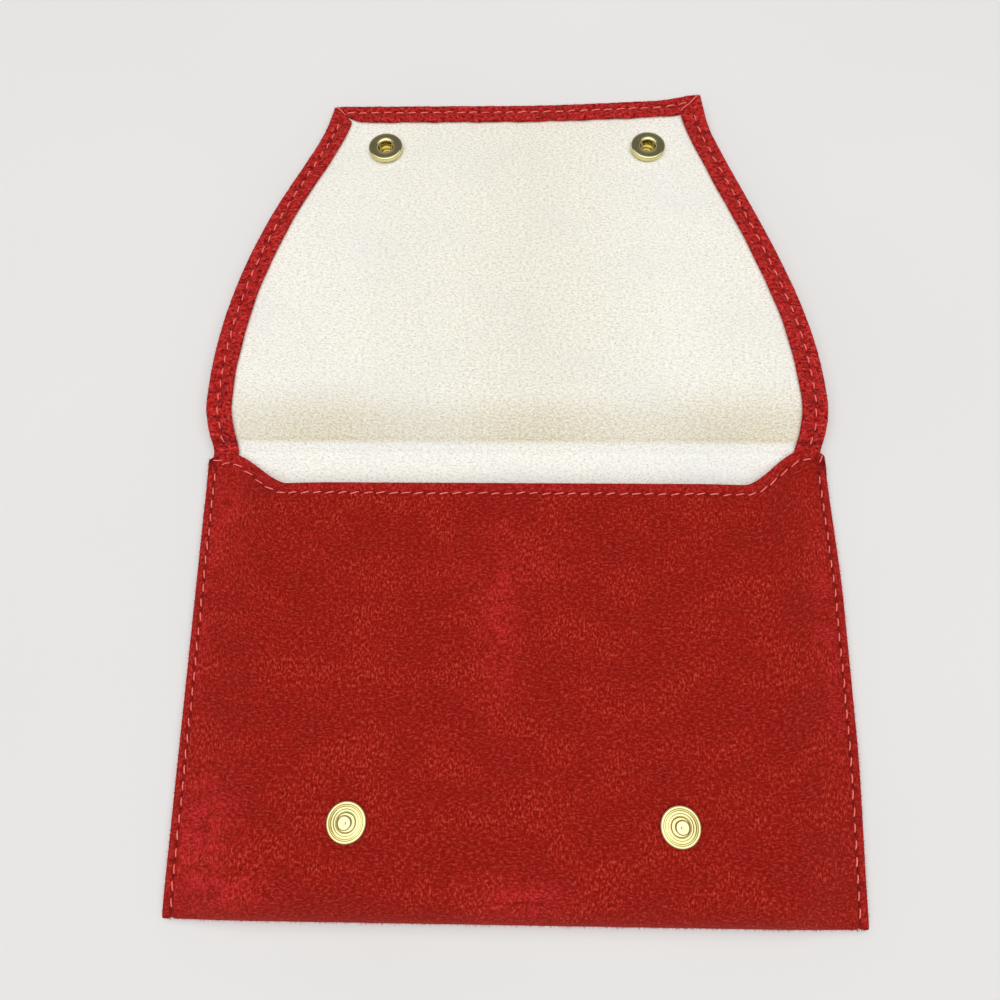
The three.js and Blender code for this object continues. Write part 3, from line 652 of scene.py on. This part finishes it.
def lining_sheet():
    sheet = Sheet(LINING)
    rows, down, _ = pocket_rows(LINING_MIDDLE, TUCK + 1)
    x, y, z = np.moveaxis(rows, -1, 0)
    inside = (HALF - SEAM_INSET) / HALF
    rim = np.minimum(HALF * INWARD, down - down[0])
    pocket = sheet.add(settled(x * inside, y, z), stacked(EVEN_X * inside, down), rim)

    along = flap_stations(TIP_AT - EDGE - GLUE)
    half = flap_half(along) - EDGE - GLUE
    x = ACROSS * half
    past = along - CREASE_AT
    draw = 0.22 * bell(past, 0.7) + 0.06 * bell(past - 2.2, 1.2)
    # Soil and painted shade in a band beyond the crease, darkest just above it
    soil_and_shade = smooth((past - SOIL_AND_SHADE_FROM) / 1.2) * (1 - 0.8 * smooth((past - SOIL_AND_SHADE_FROM - 3) / SOIL_AND_SHADE_RUN))
    # Painted shade: the flap's lining is darker in its middle than at its sides
    middle = 0.33 * (1 - smooth((np.abs(x) - 25) / 35)) * smooth((past - 8) / 12)
    shade = largest(0.75 * soil_and_shade, 0.95 * bell(past - SOIL_AND_SHADE_FROM - 1.5, 1.1), middle)
    shade = shade * (0.85 + 0.15 * np.sin(x / 9 + 1))
    for place in SOCKETS.values():
        away = np.hypot(x - place[0], along - BEND_AT - SOCKET_RUN)
        pillow = SOCKET_PILLOW * bell(away - SOCKET_RADIUS - 0.7, 0.8)
        draw = np.where(away < 2 * SOCKET_RADIUS, -pillow, draw)
    rim = np.minimum(half * INWARD, TIP_AT - EDGE - GLUE - along)
    flap = sheet.add(on_sheet(x, along, LINING_MIDDLE), stacked(x, along), rim, draw, shade)
    sheet.join(np.concatenate([pocket, flap]))
    return sheet.close()


# Pieces
PARTING_ANGLE = math.radians(60)  # sharper edges than this stay crisp on the sheets
TURNED_ANGLE = math.radians(42)  # and on turned brass


def add_object(name, data):
    thing = bpy.data.objects.new(name, data)
    bpy.context.scene.collection.objects.link(thing)
    return thing


def make_piece(name, points, faces, look, slot, **values):
    """A mesh object from points in millimetres, with values kept at its points."""
    mesh = bpy.data.meshes.new(name)
    mesh.from_pydata((points * MM).tolist(), [], faces)
    mesh.polygons.foreach_set("use_smooth", [True] * len(mesh.polygons))
    for key, data in values.items():
        kind, field = ("FLOAT", "value") if data.ndim == 1 else ("FLOAT_VECTOR", "vector")
        layer = mesh.attributes.new(key, kind, "POINT")
        layer.data.foreach_set(field, data.astype(np.float32).ravel())
    mesh.materials.append(look)
    mesh.update()
    piece = add_object(name, mesh)
    return piece


def parted(sheet, kind, look):
    """The sheet's two pieces, parted between the crease and the bend."""
    made = []
    beyond = sheet.cut[sheet.quads, 1].max(axis=1) > SPLIT_AT + 1e-6
    for name, part in ((f"{kind}_pocket", ~beyond), (f"{kind}_flap", beyond)):
        points, faces, source = sheet.solid(sheet.quads[part])
        cut = np.column_stack([sheet.cut[source] * MM, np.zeros(len(source))])
        known = {key: sheet.known[key][source] for key in ("shade", "rub_and_highlight", "tuft")}
        piece = make_piece(name, points, faces, look, kind, cut=cut, **known)
        piece.data.set_sharp_from_angle(angle=PARTING_ANGLE)
        made.append(piece)
    return made


# Materials
OBJECT = 3  # the output of a texture coordinate node that gives places on the object


def shade_of(red, green, blue):
    """A colour as a screen shows it, 0 to 255, as the renderer's own numbers."""
    channels = [c / 255 for c in (red, green, blue)]
    return tuple(c / 12.92 if c <= 0.04045 else ((c + 0.055) / 1.055) ** 2.4 for c in channels) + (1.0,)


class Look:
    """A material under construction. Its colours are given as a screen shows them."""

    def __init__(self, name):
        self.material = bpy.data.materials.new(name)
        self.material.use_nodes = True
        self.tree = self.material.node_tree
        self.shader = self.tree.nodes["Principled BSDF"]

    def add(self, kind, inputs=None, output=0, **settings):
        node = self.tree.nodes.new(f"ShaderNode{kind}")
        for key, value in settings.items():
            setattr(node, key, value)
        for key, value in (inputs or {}).items():
            self.put(node.inputs[key], value)
        return node.outputs[output]

    def put(self, socket, value):
        if isinstance(value, bpy.types.NodeSocket):
            self.tree.links.new(value, socket)
        else:
            socket.default_value = value

    def set(self, **values):
        for key, value in values.items():
            self.put(self.shader.inputs[key.replace("_", " ")], value)

    def known(self, name, output="Fac"):
        return self.add("Attribute", output=output, attribute_name=name)

    def noise(self, place, per_metre, detail, roughness):
        """Noise with so many bumps in a metre along each axis."""
        place = self.add("VectorMath", {0: place, 1: per_metre}, operation="MULTIPLY")
        return self.add("TexNoise", {"Vector": place, "Scale": 1.0, "Detail": detail, "Roughness": roughness})

    def swirled(self, place, scale, amount):
        """The place, moved a little this way and that."""
        drift = self.add("TexNoise", {"Vector": place, "Scale": scale, "Detail": 2.0}, output="Color")
        drift = self.add("VectorMath", {0: drift, 1: (-0.5, -0.5, -0.5)}, operation="ADD")
        drift = self.add("VectorMath", {0: drift, "Scale": amount}, operation="SCALE")
        return self.add("VectorMath", {0: place, 1: drift}, operation="ADD")

    def ramp(self, value, low, high, to_low=0.0, to_high=1.0):
        inputs = {"Value": value, "From Min": low, "From Max": high, "To Min": to_low, "To Max": to_high}
        return self.add("MapRange", inputs)

    def mix(self, share, a, b):
        a, b = (shade_of(*part) if isinstance(part, tuple) else part for part in (a, b))
        return self.add("Mix", {0: share, 6: a, 7: b}, output=2, data_type="RGBA")

    def turn(self, colour, other, value, low, high, most=1.0):
        """The colour, turning to the other as the value goes from low to high."""
        return self.mix(self.ramp(value, low, high, 0, most), colour, other)

    def math(self, operation, a, b):
        return self.add("Math", {0: a, 1: b}, operation=operation)

    def bump(self, height, distance, strength):
        return self.add("Bump", {"Height": height, "Distance": distance, "Strength": strength})


def suede_look():
    """Napped suede: short curly strokes of lighter and darker pile, rubbed flat here and there. Painted shade
    in seams, holes and creases, and painted highlights on the turned edges.
    """
    look = Look("suede_red")
    place = look.known("cut", "Vector")
    curly = look.swirled(place, 420.0, 0.0012)
    strokes = look.noise(curly, (980, 2300, 1), 3.0, 0.6)
    crossing = look.noise(curly, (2000, 1100, 1), 3.0, 0.6)
    broad = look.noise(place, (70, 95, 1), 3.0, 0.55)
    grain = look.noise(place, (5200, 5200, 1), 2.0, 0.7)
    streaky = look.noise(curly, (240, 300, 1), 4.0, 0.65)
    clumps = look.noise(curly, (950, 1250, 1), 3.0, 0.6)
    nap = look.mix(look.ramp(broad, 0.4, 0.6, 0.2, 0.8), strokes, crossing)
    colour = look.turn((153, 19, 4), (115, 6, 1), nap, 0.5, 0.37)
    colour = look.turn(colour, (192, 67, 54), nap, 0.51, 0.63)
    colour = look.turn(colour, (131, 13, 5), broad, 0.6, 0.4, 0.4)
    laid = look.turn((163, 14, 17), (212, 54, 54), nap, 0.42, 0.6)
    # Lighter where rubbed flat, and where a highlight is painted along the turned edges
    patch = look.math("MULTIPLY", look.known("rub_and_highlight"), look.ramp(streaky, 0.39, 0.58))
    colour = look.mix(patch, colour, laid)
    # On the turned edges, tufts of nap, with painted shade in the small hollows between them and painted
    # highlights on them
    tufts_shaded_and_lit = look.turn((114, 4, 3), (200, 38, 33), clumps, 0.38, 0.57)
    tufts_shaded_and_lit = look.turn(tufts_shaded_and_lit, (232, 98, 92), nap, 0.52, 0.68)
    colour = look.mix(look.known("tuft"), colour, tufts_shaded_and_lit)
    colour = look.mix(look.math("MULTIPLY", look.known("shade"), 0.82), colour, (84, 3, 2))
    height = look.math("ADD", look.math("MULTIPLY", nap, 0.75), look.math("MULTIPLY", grain, 0.25))
    tufts = look.math("MULTIPLY", look.known("tuft"), 0.5)
    height = look.math("ADD", height, look.math("MULTIPLY", clumps, tufts))
    look.set(Base_Color=colour, Roughness=0.92, Sheen_Weight=0.15, Sheen_Roughness=0.45)
    look.set(Sheen_Tint=shade_of(235, 110, 95), Specular_IOR_Level=0.15)
    look.set(Normal=look.bump(height, 0.0003, 0.9))
    return look.material


def lining_look():
    """Ivory microsuede: a worm-like grain that runs across, cream near the crease, with soil and painted
    shade there, and painted shade in the flap's middle.
    """
    look = Look("lining_ivory")
    place = look.known("cut", "Vector")
    curly = look.swirled(place, 500.0, 0.0010)
    worms = look.noise(curly, (1050, 2100, 1), 3.0, 0.65)
    grain = look.noise(place, (1900, 2200, 1), 2.0, 0.7)
    broad = look.noise(place, (30, 40, 1), 3.0, 0.5)
    colour = look.turn((226, 221, 206), (255, 254, 246), worms, 0.34, 0.53)
    colour = look.turn(colour, (234, 234, 234), broad, 0.45, 0.7, 0.35)
    colour = look.turn(colour, (192, 190, 183), grain, 0.57, 0.7, 0.8)
    # Beyond the crease, soil and painted shade: a beige stain with grey grit, as the shade value says
    stain_and_shade = look.math("MULTIPLY", look.known("shade"), look.ramp(worms, 0.4, 0.58, 0.95, 0.45))
    colour = look.mix(stain_and_shade, colour, (212, 196, 151))
    grit_and_shade = look.math("MULTIPLY", look.known("shade"), look.ramp(grain, 0.5, 0.62, 0, 0.55))
    colour = look.mix(grit_and_shade, colour, (176, 166, 144))
    specks = look.add("TexVoronoi", {"Vector": place, "Scale": 300.0})
    colour = look.turn(colour, (158, 156, 152), specks, 0.08, 0.04, 0.5)
    height = look.math("ADD", look.math("MULTIPLY", worms, 0.8), look.math("MULTIPLY", grain, 0.25))
    look.set(Base_Color=colour, Roughness=0.95, Sheen_Weight=0.1, Sheen_Roughness=0.5)
    look.set(Specular_IOR_Level=0.15, Normal=look.bump(height, 0.00022, 0.9))
    return look.material


def thread_look():
    """Twisted polyester thread, lighter than the suede."""
    look = Look("thread_red")
    place = look.add("TexCoord", output=OBJECT)
    strands = look.noise(place, (2500, 2500, 2500), 2.0, 0.6)
    lengths = look.noise(place, (260, 260, 260), 2.0, 0.5)
    colour = look.turn((250, 96, 88), (255, 146, 134), strands, 0.35, 0.65)
    colour = look.turn(colour, (222, 70, 62), lengths, 0.6, 0.35, 0.4)
    look.set(Base_Color=colour, Roughness=0.5, Sheen_Weight=0.1, Normal=look.bump(strands, 0.0001, 0.6))
    return look.material


def nap_look():
    """Loose fibres of the suede, a little lighter than its face."""
    look = Look("nap_red")
    tones = look.noise(look.add("TexCoord", output=OBJECT), (900, 900, 900), 2.0, 0.5)
    colour = look.turn((186, 26, 34), (226, 74, 80), tones, 0.35, 0.65)
    look.set(Base_Color=colour, Roughness=0.8, Sheen_Weight=0.2, Specular_IOR_Level=0.15)
    return look.material


def metal_look(name, colour, dark, roughness):
    look = Look(name)
    place = look.add("TexCoord", output=OBJECT)
    scuffs = look.noise(place, (400, 400, 400), 3.0, 0.6)
    fine = look.noise(place, (3000, 3000, 3000), 2.0, 0.6)
    tone = look.turn(colour, dark, scuffs, 0.3, 0.75)
    tone = look.mix(look.known("deep"), tone, (192, 176, 110))
    rough = look.ramp(fine, 0.3, 0.7, roughness * 0.7, roughness * 1.4)
    look.set(Base_Color=tone, Metallic=1.0, Roughness=rough, Normal=look.bump(fine, 0.00001, 0.25))
    return look.material


def floor_look():
    look = Look("floor")
    mottle = look.noise(look.add("TexCoord", output=OBJECT), (9, 9, 9), 2.0, 0.5)
    look.set(Base_Color=look.mix(mottle, (226, 225, 222), (232, 231, 229)), Roughness=0.7)
    look.set(Specular_IOR_Level=0.2)
    return look.material


# Sewing thread and loose fibres
def unit(ways):
    return ways / np.linalg.norm(ways, axis=-1, keepdims=True)


def tubes(spines, ahead, aside, radii, sides):
    """Closed tubes along some spines: their points and faces."""
    up = unit(np.cross(ahead, aside))
    out = np.cross(ahead, up)
    turn = np.linspace(0, 2 * math.pi, sides, endpoint=False)[:, None]
    ring = up[..., None, :] * np.cos(turn) + out[..., None, :] * np.sin(turn)
    points = spines[..., None, :] + ring * radii[:, None, None]
    return points.reshape(-1, 3), tube_faces(points.shape[:-1])


class Surface:
    """The outer face of a sheet, for laying thread on it."""

    def __init__(self, sheet):
        quads = [without_repeats(quad) for quad in sheet.quads]
        self.tree = BVHTree.FromPolygons(sheet.outer.tolist(), quads)

    def under(self, places, normals, reach=2.5):
        """The places moved onto the face, along their normals."""
        laid = []
        for place, normal in zip(places, normals):
            start = Vector(place + normal * reach)
            hit = self.tree.ray_cast(start, -Vector(normal), 2 * reach)[0]
            laid.append(np.array(hit) if hit else place)
        return np.array(laid)


class Seam:
    """Stitches that lie on a sheet, gathered into one piece."""

    SHARE = np.linspace(-0.5, 0.5, 9)  # places along one stitch
    RADII = THREAD / 2 * np.sqrt(np.clip(1.02 - (2 * SHARE) ** 6, 0.05, 1))
    LIFT = THREAD * 0.42 - 0.34 * np.abs(2 * SHARE) ** 5  # over the suede, down into the holes at both ends
    AROUND = 8

    def __init__(self, surface, seed=0, pitch=SIDE_PITCH, buried=0.0):
        self.surface = surface
        self.pitch = pitch
        self.random = np.random.default_rng(seed)
        self.buried = buried
        self.spines = []

    def stitch(self, places, normals):
        laid = self.surface.under(places, normals)
        self.spines.append(laid + normals * (self.LIFT - self.buried)[:, None])

    def sew(self, line, start, end, length, lean):
        """Stitches along a line, which gives places and normals on the sheet for distances along it."""
        for number in range(math.ceil(start / self.pitch), math.floor(end / self.pitch)):
            middle = (number + 0.5) * self.pitch + self.random.normal(0, 0.07)
            places, normals = line(middle + self.SHARE * length * self.random.uniform(0.92, 1.06))
            aside = np.cross(normals[4], unit(places[-1] - places[0]))
            tilt = self.SHARE * (lean + self.random.normal(0, 0.12)) + self.random.normal(0, 0.06)
            self.stitch(places + aside * tilt[:, None], normals)

    def bar(self, start, end, height):
        """One stitch from place to place, seen from above."""
        places = np.linspace([*start, height], [*end, height], len(self.SHARE))
        self.stitch(places, outwards(0, 0, 1, like=places))

    def piece(self, name, look):
        spines = np.array(self.spines)
        ahead = unit(np.gradient(spines, axis=1))
        points, faces = tubes(spines, ahead, [0.3, 0.2, 0.9], self.RADII, self.AROUND)
        return make_piece(name, points, faces, look, "suede")


class Nap:
    """Fine fibres that stand out from the suede's edges, gathered into one piece."""

    RADII = 0.042 * np.array([1.0, 0.75, 0.15])
    ROOT = 0.06  # how deep a fibre starts in the suede
    AROUND = 3

    def __init__(self, seed):
        self.random = np.random.default_rng(seed)
        self.roots, self.ways = [], []

    def places(self, start, end, thickness=NAP_THICKNESS):
        """Places for fibres along an edge, as distances in no order."""
        return self.random.uniform(start, end, int((end - start) * thickness))

    def grow(self, roots, way, length=NAP_LENGTH):
        """Fibres of uneven length from the roots, about along the way."""
        ways = unit(way + self.random.normal(0, 0.5, roots.shape))
        lengths = np.clip(self.random.gamma(3, length / 3, len(ways)), 0.1, 1.8 * length)
        self.roots.append(roots - self.ROOT * ways)
        self.ways.append(ways * lengths[:, None])

    def piece(self, name, look):
        roots, ways = np.concatenate(self.roots), np.concatenate(self.ways)
        curl = self.random.normal(0, 0.25, ways.shape) * np.linalg.norm(ways, axis=1)[:, None]
        spines = np.stack([roots, roots + 0.55 * ways, roots + ways + curl], axis=1)
        points, faces = tubes(spines, unit(ways)[:, None], [0.31, 0.22, 0.92], self.RADII, self.AROUND)
        return make_piece(name, points, faces, look, "suede")


# Where the seams run: places and the ways out from the sheet there
def side_line(sign, front):
    def line(y):
        x = sign * (HALF - SEAM_INSET)
        z = front_outer(x, y) if front else 0.0
        return settled(x, y, z), outwards(0, 0, 1 if front else -1, like=y)

    return line


def mouth_line(x):
    slope = (mouth_edge(x + 0.05) - mouth_edge(x - 0.05)) / 0.1
    y = mouth_edge(x) - MOUTH_INSET * np.sqrt(1 + slope**2)
    return settled(x, y, front_height(x, y)), outwards(0, 0, 1, like=x)


def face_of(x, along, top):
    """Places on the lining's side or the suede's side of the turned edge, and the way out from it."""
    low, high = on_sheet(x, along, 0.0), on_sheet(x, along, HEM_TOP)
    up = (high - low) / HEM_TOP
    return (high, up) if top else (low, -up)


def hem_line(sign, top):
    return lambda along: face_of(sign * (flap_half(along) - HEM_SEAM), along, top)


def tip_line(top):
    return lambda x: face_of(x, TIP_AT - TIP_SEAM, top)


# Snaps
CAP_RADIUS = 5.2
CAP_DOME = 0.8
SHANK_RADIUS = 2.35
TURNED_SIDES = 72

# Radius and height of the outlines that are turned, from the middle outwards or round the section. A third
# number says how dull the metal is there, in grooves and holes that no polish reaches
STUD_PROFILE = [
    (0.02, 0.15), (4.5, 0.15), (4.66, 0.23), (4.68, 0.38), (4.56, 0.54), (4.34, 0.62), (4.1, 0.61, 0.2),
    (4.0, 0.5, 1), (3.9, 0.6, 0.1), (3.7, 0.62), (3.6, 0.52, 0.8), (3.5, 0.6, 0.1), (3.04, 0.63),
    (2.95, 0.55, 0.5), (2.86, 0.62), (2.5, 0.65), (2.38, 0.52, 1), (2.26, 0.64, 0.3), (2.1, 0.74),
    (1.95, 0.8), (1.72, 0.84, 0.2), (1.5, 0.9, 0.8), (1.4, 1.1, 0.9), (1.36, 1.4, 0.6), (1.4, 1.85, 0.8),
    (1.5, 2.05, 0.9), (1.66, 2.2, 0.7), (1.7, 2.44, 0.6), (1.63, 2.68, 0.1), (1.4, 2.84), (1.0, 2.88),
    (0.5, 2.86), (0.35, 2.76, 0.4), (0.02, 2.74, 0.3),
]
SOCKET_PROFILE = [
    (2.47, 0.15), (4.82, 0.15), (4.97, 0.28), (5.0, 0.5), (5.0, 1.36), (4.95, 1.55), (4.82, 1.66),
    (4.62, 1.7), (2.62, 1.7), (2.5, 1.66), (2.3, 1.5), (2.22, 1.3, 0.3), (2.28, 1.2, 0.8), (3.45, 1.2, 1),
    (3.45, 0.4, 1), (2.47, 0.4, 1),
]


def cap_profile():
    """The domed cap on the suede's side, its shank, and the shank's end rolled over inside the socket."""
    under = -SHEET - SEAT_CLEAR
    turn = np.linspace(0.01, math.pi / 2, 14)
    dome = [(CAP_RADIUS * math.sin(a), under - 0.2 - CAP_DOME * math.cos(a)) for a in turn]
    rim = [(CAP_RADIUS, under - 0.05), (CAP_RADIUS - 0.12, under), (SHANK_RADIUS, under)]
    roll = [(SHANK_RADIUS, 0.42), (2.7, 0.46, 0.6), (2.88, 0.56, 0.6), (2.8, 0.68, 0.5), (2.4, 0.7, 0.5)]
    roll += [(2.02, 0.62, 0.5), (1.95, 0.5, 0.7)]
    floor = [(1.95, -1.05), (1.75, -0.95), (1.3, -0.8), (0.7, -0.72), (0.02, -0.7)]
    return [*dome, *rim, *roll, *((*point, 0.4) for point in floor)]


def seat(node, radius):
    """Where a snap piece's axis meets the face that it sits on."""
    low, high = corners(node)
    height = low[2] + radius * math.sin(SNAP_TILT) - SEAT_CLEAR * math.cos(SNAP_TILT)
    return np.array([*(low + high)[:2] / 2, height])


def turned_piece(node, profile, place, look, closed=False):
    """A lathe-turned piece that stands for a snap's node, tilted as the sheet under it is."""
    radius, height, dull = np.array([(*point, 0.0)[:3] for point in profile]).T[..., None]
    turn = np.linspace(0, 2 * math.pi, TURNED_SIDES, endpoint=False)
    points = stacked(radius * np.cos(turn), radius * np.sin(turn), height)
    faces = tube_faces(points.shape[:2], closed)
    tilt = np.array(Matrix.Rotation(-SNAP_TILT, 3, "X"))
    points = points.reshape(-1, 3) @ tilt.T + place
    deep = np.repeat(dull, TURNED_SIDES)
    piece = make_piece(f"{node}_brass", points, faces, look, "snap_metal", deep=deep)
    piece.data.set_sharp_from_angle(angle=TURNED_ANGLE)
    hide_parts(node)
    return piece


# Stage
# The camera as it was held over the pouch, found from the corners and snaps in the photograph
CAMERA_LENS = 26.78
CAMERA_SENSOR = 36
CAMERA_PLACE = (0.16, -57.06, 193.43)
CAMERA_PITCH = math.radians(13.47)
CAMERA_YAW = math.radians(1.16)
CAMERA_ROLL = math.radians(0.30)

# Grey of the sky at each height, as the sine of the height: darkest where the sockets' faces mirror it
SKY = [(0.0, 0.62), (0.2, 0.52), (0.38, 0.3), (0.56, 0.15), (0.66, 0.16), (0.82, 0.45), (1.0, 0.68)]
LAMP_PLACE = (0, -0.1, 1.15)
LAMP_SIZE = 2.3
LAMP_POWER = 19.6
FLOOR_HALF = 4.0
FLOOR_DROP = 0.0004  # keeps the floor just clear of the pouch's back


def place_camera():
    data = bpy.data.cameras.new("camera")
    data.sensor_width = CAMERA_SENSOR
    data.lens = CAMERA_LENS
    data.clip_start = 0.01
    data.clip_end = 20
    camera = add_object("camera", data)
    turn = Matrix.Rotation(CAMERA_PITCH, 4, "X") @ Matrix.Rotation(CAMERA_YAW, 4, "Y")
    turn = turn @ Matrix.Rotation(CAMERA_ROLL, 4, "Z")
    camera.matrix_world = Matrix.Translation(Vector(CAMERA_PLACE) * MM) @ turn
    bpy.context.scene.camera = camera


def studio_sky():
    """A soft grey sky, paler overhead than around."""
    world = bpy.data.worlds.new("studio")
    world.use_nodes = True
    tree = world.node_tree
    place = tree.nodes.new("ShaderNodeTexCoord").outputs["Generated"]
    parts = tree.nodes.new("ShaderNodeSeparateXYZ")
    tree.links.new(place, parts.inputs[0])
    ramp = tree.nodes.new("ShaderNodeValToRGB")
    tree.links.new(parts.outputs["Z"], ramp.inputs[0])
    stops = ramp.color_ramp.elements
    for number, (height, grey) in enumerate(SKY):
        stop = stops[number] if number < len(stops) else stops.new(height)
        stop.position = height
        stop.color = (grey, grey, grey * 1.02, 1)
    tree.links.new(ramp.outputs["Color"], tree.nodes["Background"].inputs["Color"])
    bpy.context.scene.world = world


def build_stage():
    """The sky, a broad lamp that shines straight down, and the floor."""
    studio_sky()
    bpy.context.scene.view_settings.view_transform = "Standard"
    data = bpy.data.lights.new("overhead", "AREA")
    data.shape = "SQUARE"
    data.size = LAMP_SIZE
    data.energy = LAMP_POWER
    add_object("overhead", data).location = LAMP_PLACE
    mesh = bpy.data.meshes.new("floor")
    side = FLOOR_HALF
    outline = [(-side, -side, 0), (side, -side, 0), (side, side, 0), (-side, side, 0)]
    mesh.from_pydata(outline, [], [(0, 1, 2, 3)])
    mesh.materials.append(floor_look())
    floor = add_object("floor", mesh)
    floor.location.z = -FLOOR_DROP


# Pouch
def build_sheets():
    """The suede and lining sheets, and their pieces on either side of the parting."""
    shell, inside = suede_sheet(), lining_sheet()
    pocket, flap = parted(shell, "suede", suede_look())
    pocket_lining, flap_lining = parted(inside, "lining", lining_look())
    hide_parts("pocket_suede", "fold_suede")
    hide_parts("flap_suede")
    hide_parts("pocket_lining", "fold_lining")
    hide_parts("flap_lining")
    return shell, inside, (pocket, pocket_lining), (flap, flap_lining)


def sew_sides(surface, look):
    """The pocket's side seams, through to the back, with the bar that ends each at the shoulder."""
    top = SHOULDER - MOUTH_INSET
    for seed, (side, sign) in enumerate(SIDES.items()):
        seam = Seam(surface, seed)
        seam.sew(side_line(sign, True), BOTTOM + 1.5, top, SIDE_STITCH, -0.25 * sign)
        seam.bar(*CORNER_BAR[side], 2 * SHEET)
        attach(seam.piece(f"side_seam_{side}", look), "pocket")
        back = Seam(surface, seed + 10)
        back.sew(side_line(sign, False), BOTTOM + BACK_ROLL, top, SIDE_STITCH, 0.2)
        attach(back.piece(f"side_seam_back_{side}", look), "pocket")


def sew_hems(surface, look):
    """The turned edge's seams, with one thread along each mitre of the tip's corners: the pieces up to the
    parting, and those beyond it."""
    low, high = [], []
    parting = math.floor(SPLIT_AT / SIDE_PITCH) * SIDE_PITCH
    for seed, (side, sign) in enumerate(SIDES.items(), 20):
        for face, top in (("", True), ("_back", False)):
            buried = HEM_BURIED if top else 0.0
            seam = Seam(surface, seed, buried=buried)
            seam.sew(hem_line(sign, top), SHOULDER if top else SHOULDER - 1, SPLIT_AT, SIDE_STITCH, 0.2)
            low.append(seam.piece(f"hem_seam_low{face}_{side}", look))
            seam = Seam(surface, seed + 2, buried=buried)
            seam.sew(hem_line(sign, top), parting, TIP_AT - TIP_SEAM, SIDE_STITCH, 0.2)
            if top:
                seam.buried = 0.0
                share = np.linspace(0.1, MITRE_THREAD[side], len(Seam.SHARE))
                seam.stitch(*face_of(sign * (TIP_HALF - HEM * share), TIP_AT - TIP_HEM * share, top))
            high.append(seam.piece(f"hem_seam{face}_{side}", look))
    return low, high


def sew_ends(surface, look):
    """The seams along the mouth and the tip."""
    reach = HALF - SEAM_INSET
    mouth = Seam(surface, 40, MOUTH_PITCH)
    mouth.sew(mouth_line, -reach, reach, MOUTH_STITCH, 0.45)
    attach(mouth.piece("mouth_seam", look), "pocket")
    reach = float(flap_half(TIP_AT)) - HEM_SEAM
    for seed, face, top in ((41, "", True), (42, "_back", False)):
        tip = Seam(surface, seed)
        tip.sew(tip_line(top), -reach, reach, TIP_STITCH, 0.3)
        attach(tip.piece(f"tip_seam{face}", look), "flap")


def pocket_nap(look):
    """Fibres along the pocket's sides, bottom and mouth."""
    nap = Nap(60)
    for sign in SIDES.values():
        y = nap.places(BOTTOM + 1, SHOULDER - 0.5)
        x = sign * (HALF - 0.1)
        z = front_outer(x, y) - nap.random.uniform(0.1, SUEDE - 0.1, y.shape)
        nap.grow(settled(x, y, z), (sign, 0, 0.25))
    x = nap.places(1 - HALF, HALF - 1)
    y = BOTTOM + nap.random.uniform(0.02, 0.3, x.shape)
    nap.grow(settled(x, y, front_outer(x, y)), (0, -1, 0.3))
    x = nap.places(1 - HALF, HALF - 1)
    y = mouth_edge(x) - nap.random.uniform(0, 0.25, x.shape)
    z = front_height(x, y) - nap.random.uniform(0.15, SUEDE - 0.1, x.shape)
    nap.grow(settled(x, y, z), (0, 1, 0.3), 0.6 * NAP_LENGTH)
    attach(nap.piece("pocket_nap", look), "pocket")


def hem_nap(look):
    """Fibres along the hems' folds and cut edges: up to the parting, and beyond it."""
    made = []
    spans = (SHOULDER + 1, SPLIT_AT, SPLIT_AT), (SPLIT_AT, TIP_AT - 1, TIP_AT - HEM)
    for seed, (name, (start, end, inner_end)) in enumerate(zip(("hem_nap_low", "hem_nap"), spans), 70):
        nap = Nap(seed)
        for sign in SIDES.values():
            along = nap.places(start, end)
            turn = nap.random.uniform(-0.5, 1.2, along.shape)
            x = flap_half(along) - EDGE + (EDGE - 0.05) * np.cos(turn)
            nap.grow(on_sheet(sign * x, along, EDGE * (1 + np.sin(turn))), (sign, 0, 0.4))
            along = nap.places(start, inner_end, 0.5 * NAP_THICKNESS)
            height = HEM_TOP - nap.random.uniform(0.1, SUEDE - 0.1, along.shape)
            x = sign * (flap_half(along) - HEM + 0.15)
            nap.grow(on_sheet(x, along, height), (-sign, 0, 0.4), 0.6 * NAP_LENGTH)
        if end > SPLIT_AT:
            x = nap.places(-TIP_HALF, TIP_HALF)
            turn = nap.random.uniform(-0.5, 1.2, x.shape)
            along = TIP_AT - EDGE + (EDGE - 0.05) * np.cos(turn)
            nap.grow(on_sheet(x, along, EDGE * (1 + np.sin(turn))), (0, 1, 0.4))
        made.append(nap.piece(name, look))
    return made


def build_snaps():
    brass = metal_look("brass_pale", (232, 224, 172), (216, 204, 144), 0.1)
    wire = metal_look("spring_bronze", (226, 196, 128), (196, 160, 96), 0.2)
    for side in SIDES:
        stud = turned_piece(f"stud_{side}", STUD_PROFILE, seat(f"stud_{side}", STUD_RADIUS), brass)
        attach(stud, "pocket")
        at_socket = seat(f"socket_{side}", SOCKET_RADIUS)
        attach(turned_piece(f"socket_{side}", SOCKET_PROFILE, at_socket, brass, closed=True), "flap")
        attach(turned_piece(f"cap_{side}", cap_profile(), at_socket, brass), "flap")
        for node, look in ((f"stud_rivet_{side}", brass), (f"socket_spring_{side}", wire)):
            materials = frame["nodes"][node].data.materials
            materials.clear()
            materials.append(look)


def build_pouch():
    thread = thread_look()
    shell, inside, near, far = build_sheets()
    surface = Surface(shell)
    sew_sides(surface, thread)
    sew_ends(surface, thread)
    low, high = sew_hems(surface, thread)
    fibres = nap_look()
    pocket_nap(fibres)
    for pieces, piece in zip((low, high), hem_nap(fibres)):
        pieces.append(piece)
    build_snaps()
    for piece in (*near, *low):
        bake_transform(piece)
    for piece in (*far, *high):
        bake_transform(piece)


build_stage()
place_camera()
build_pouch()
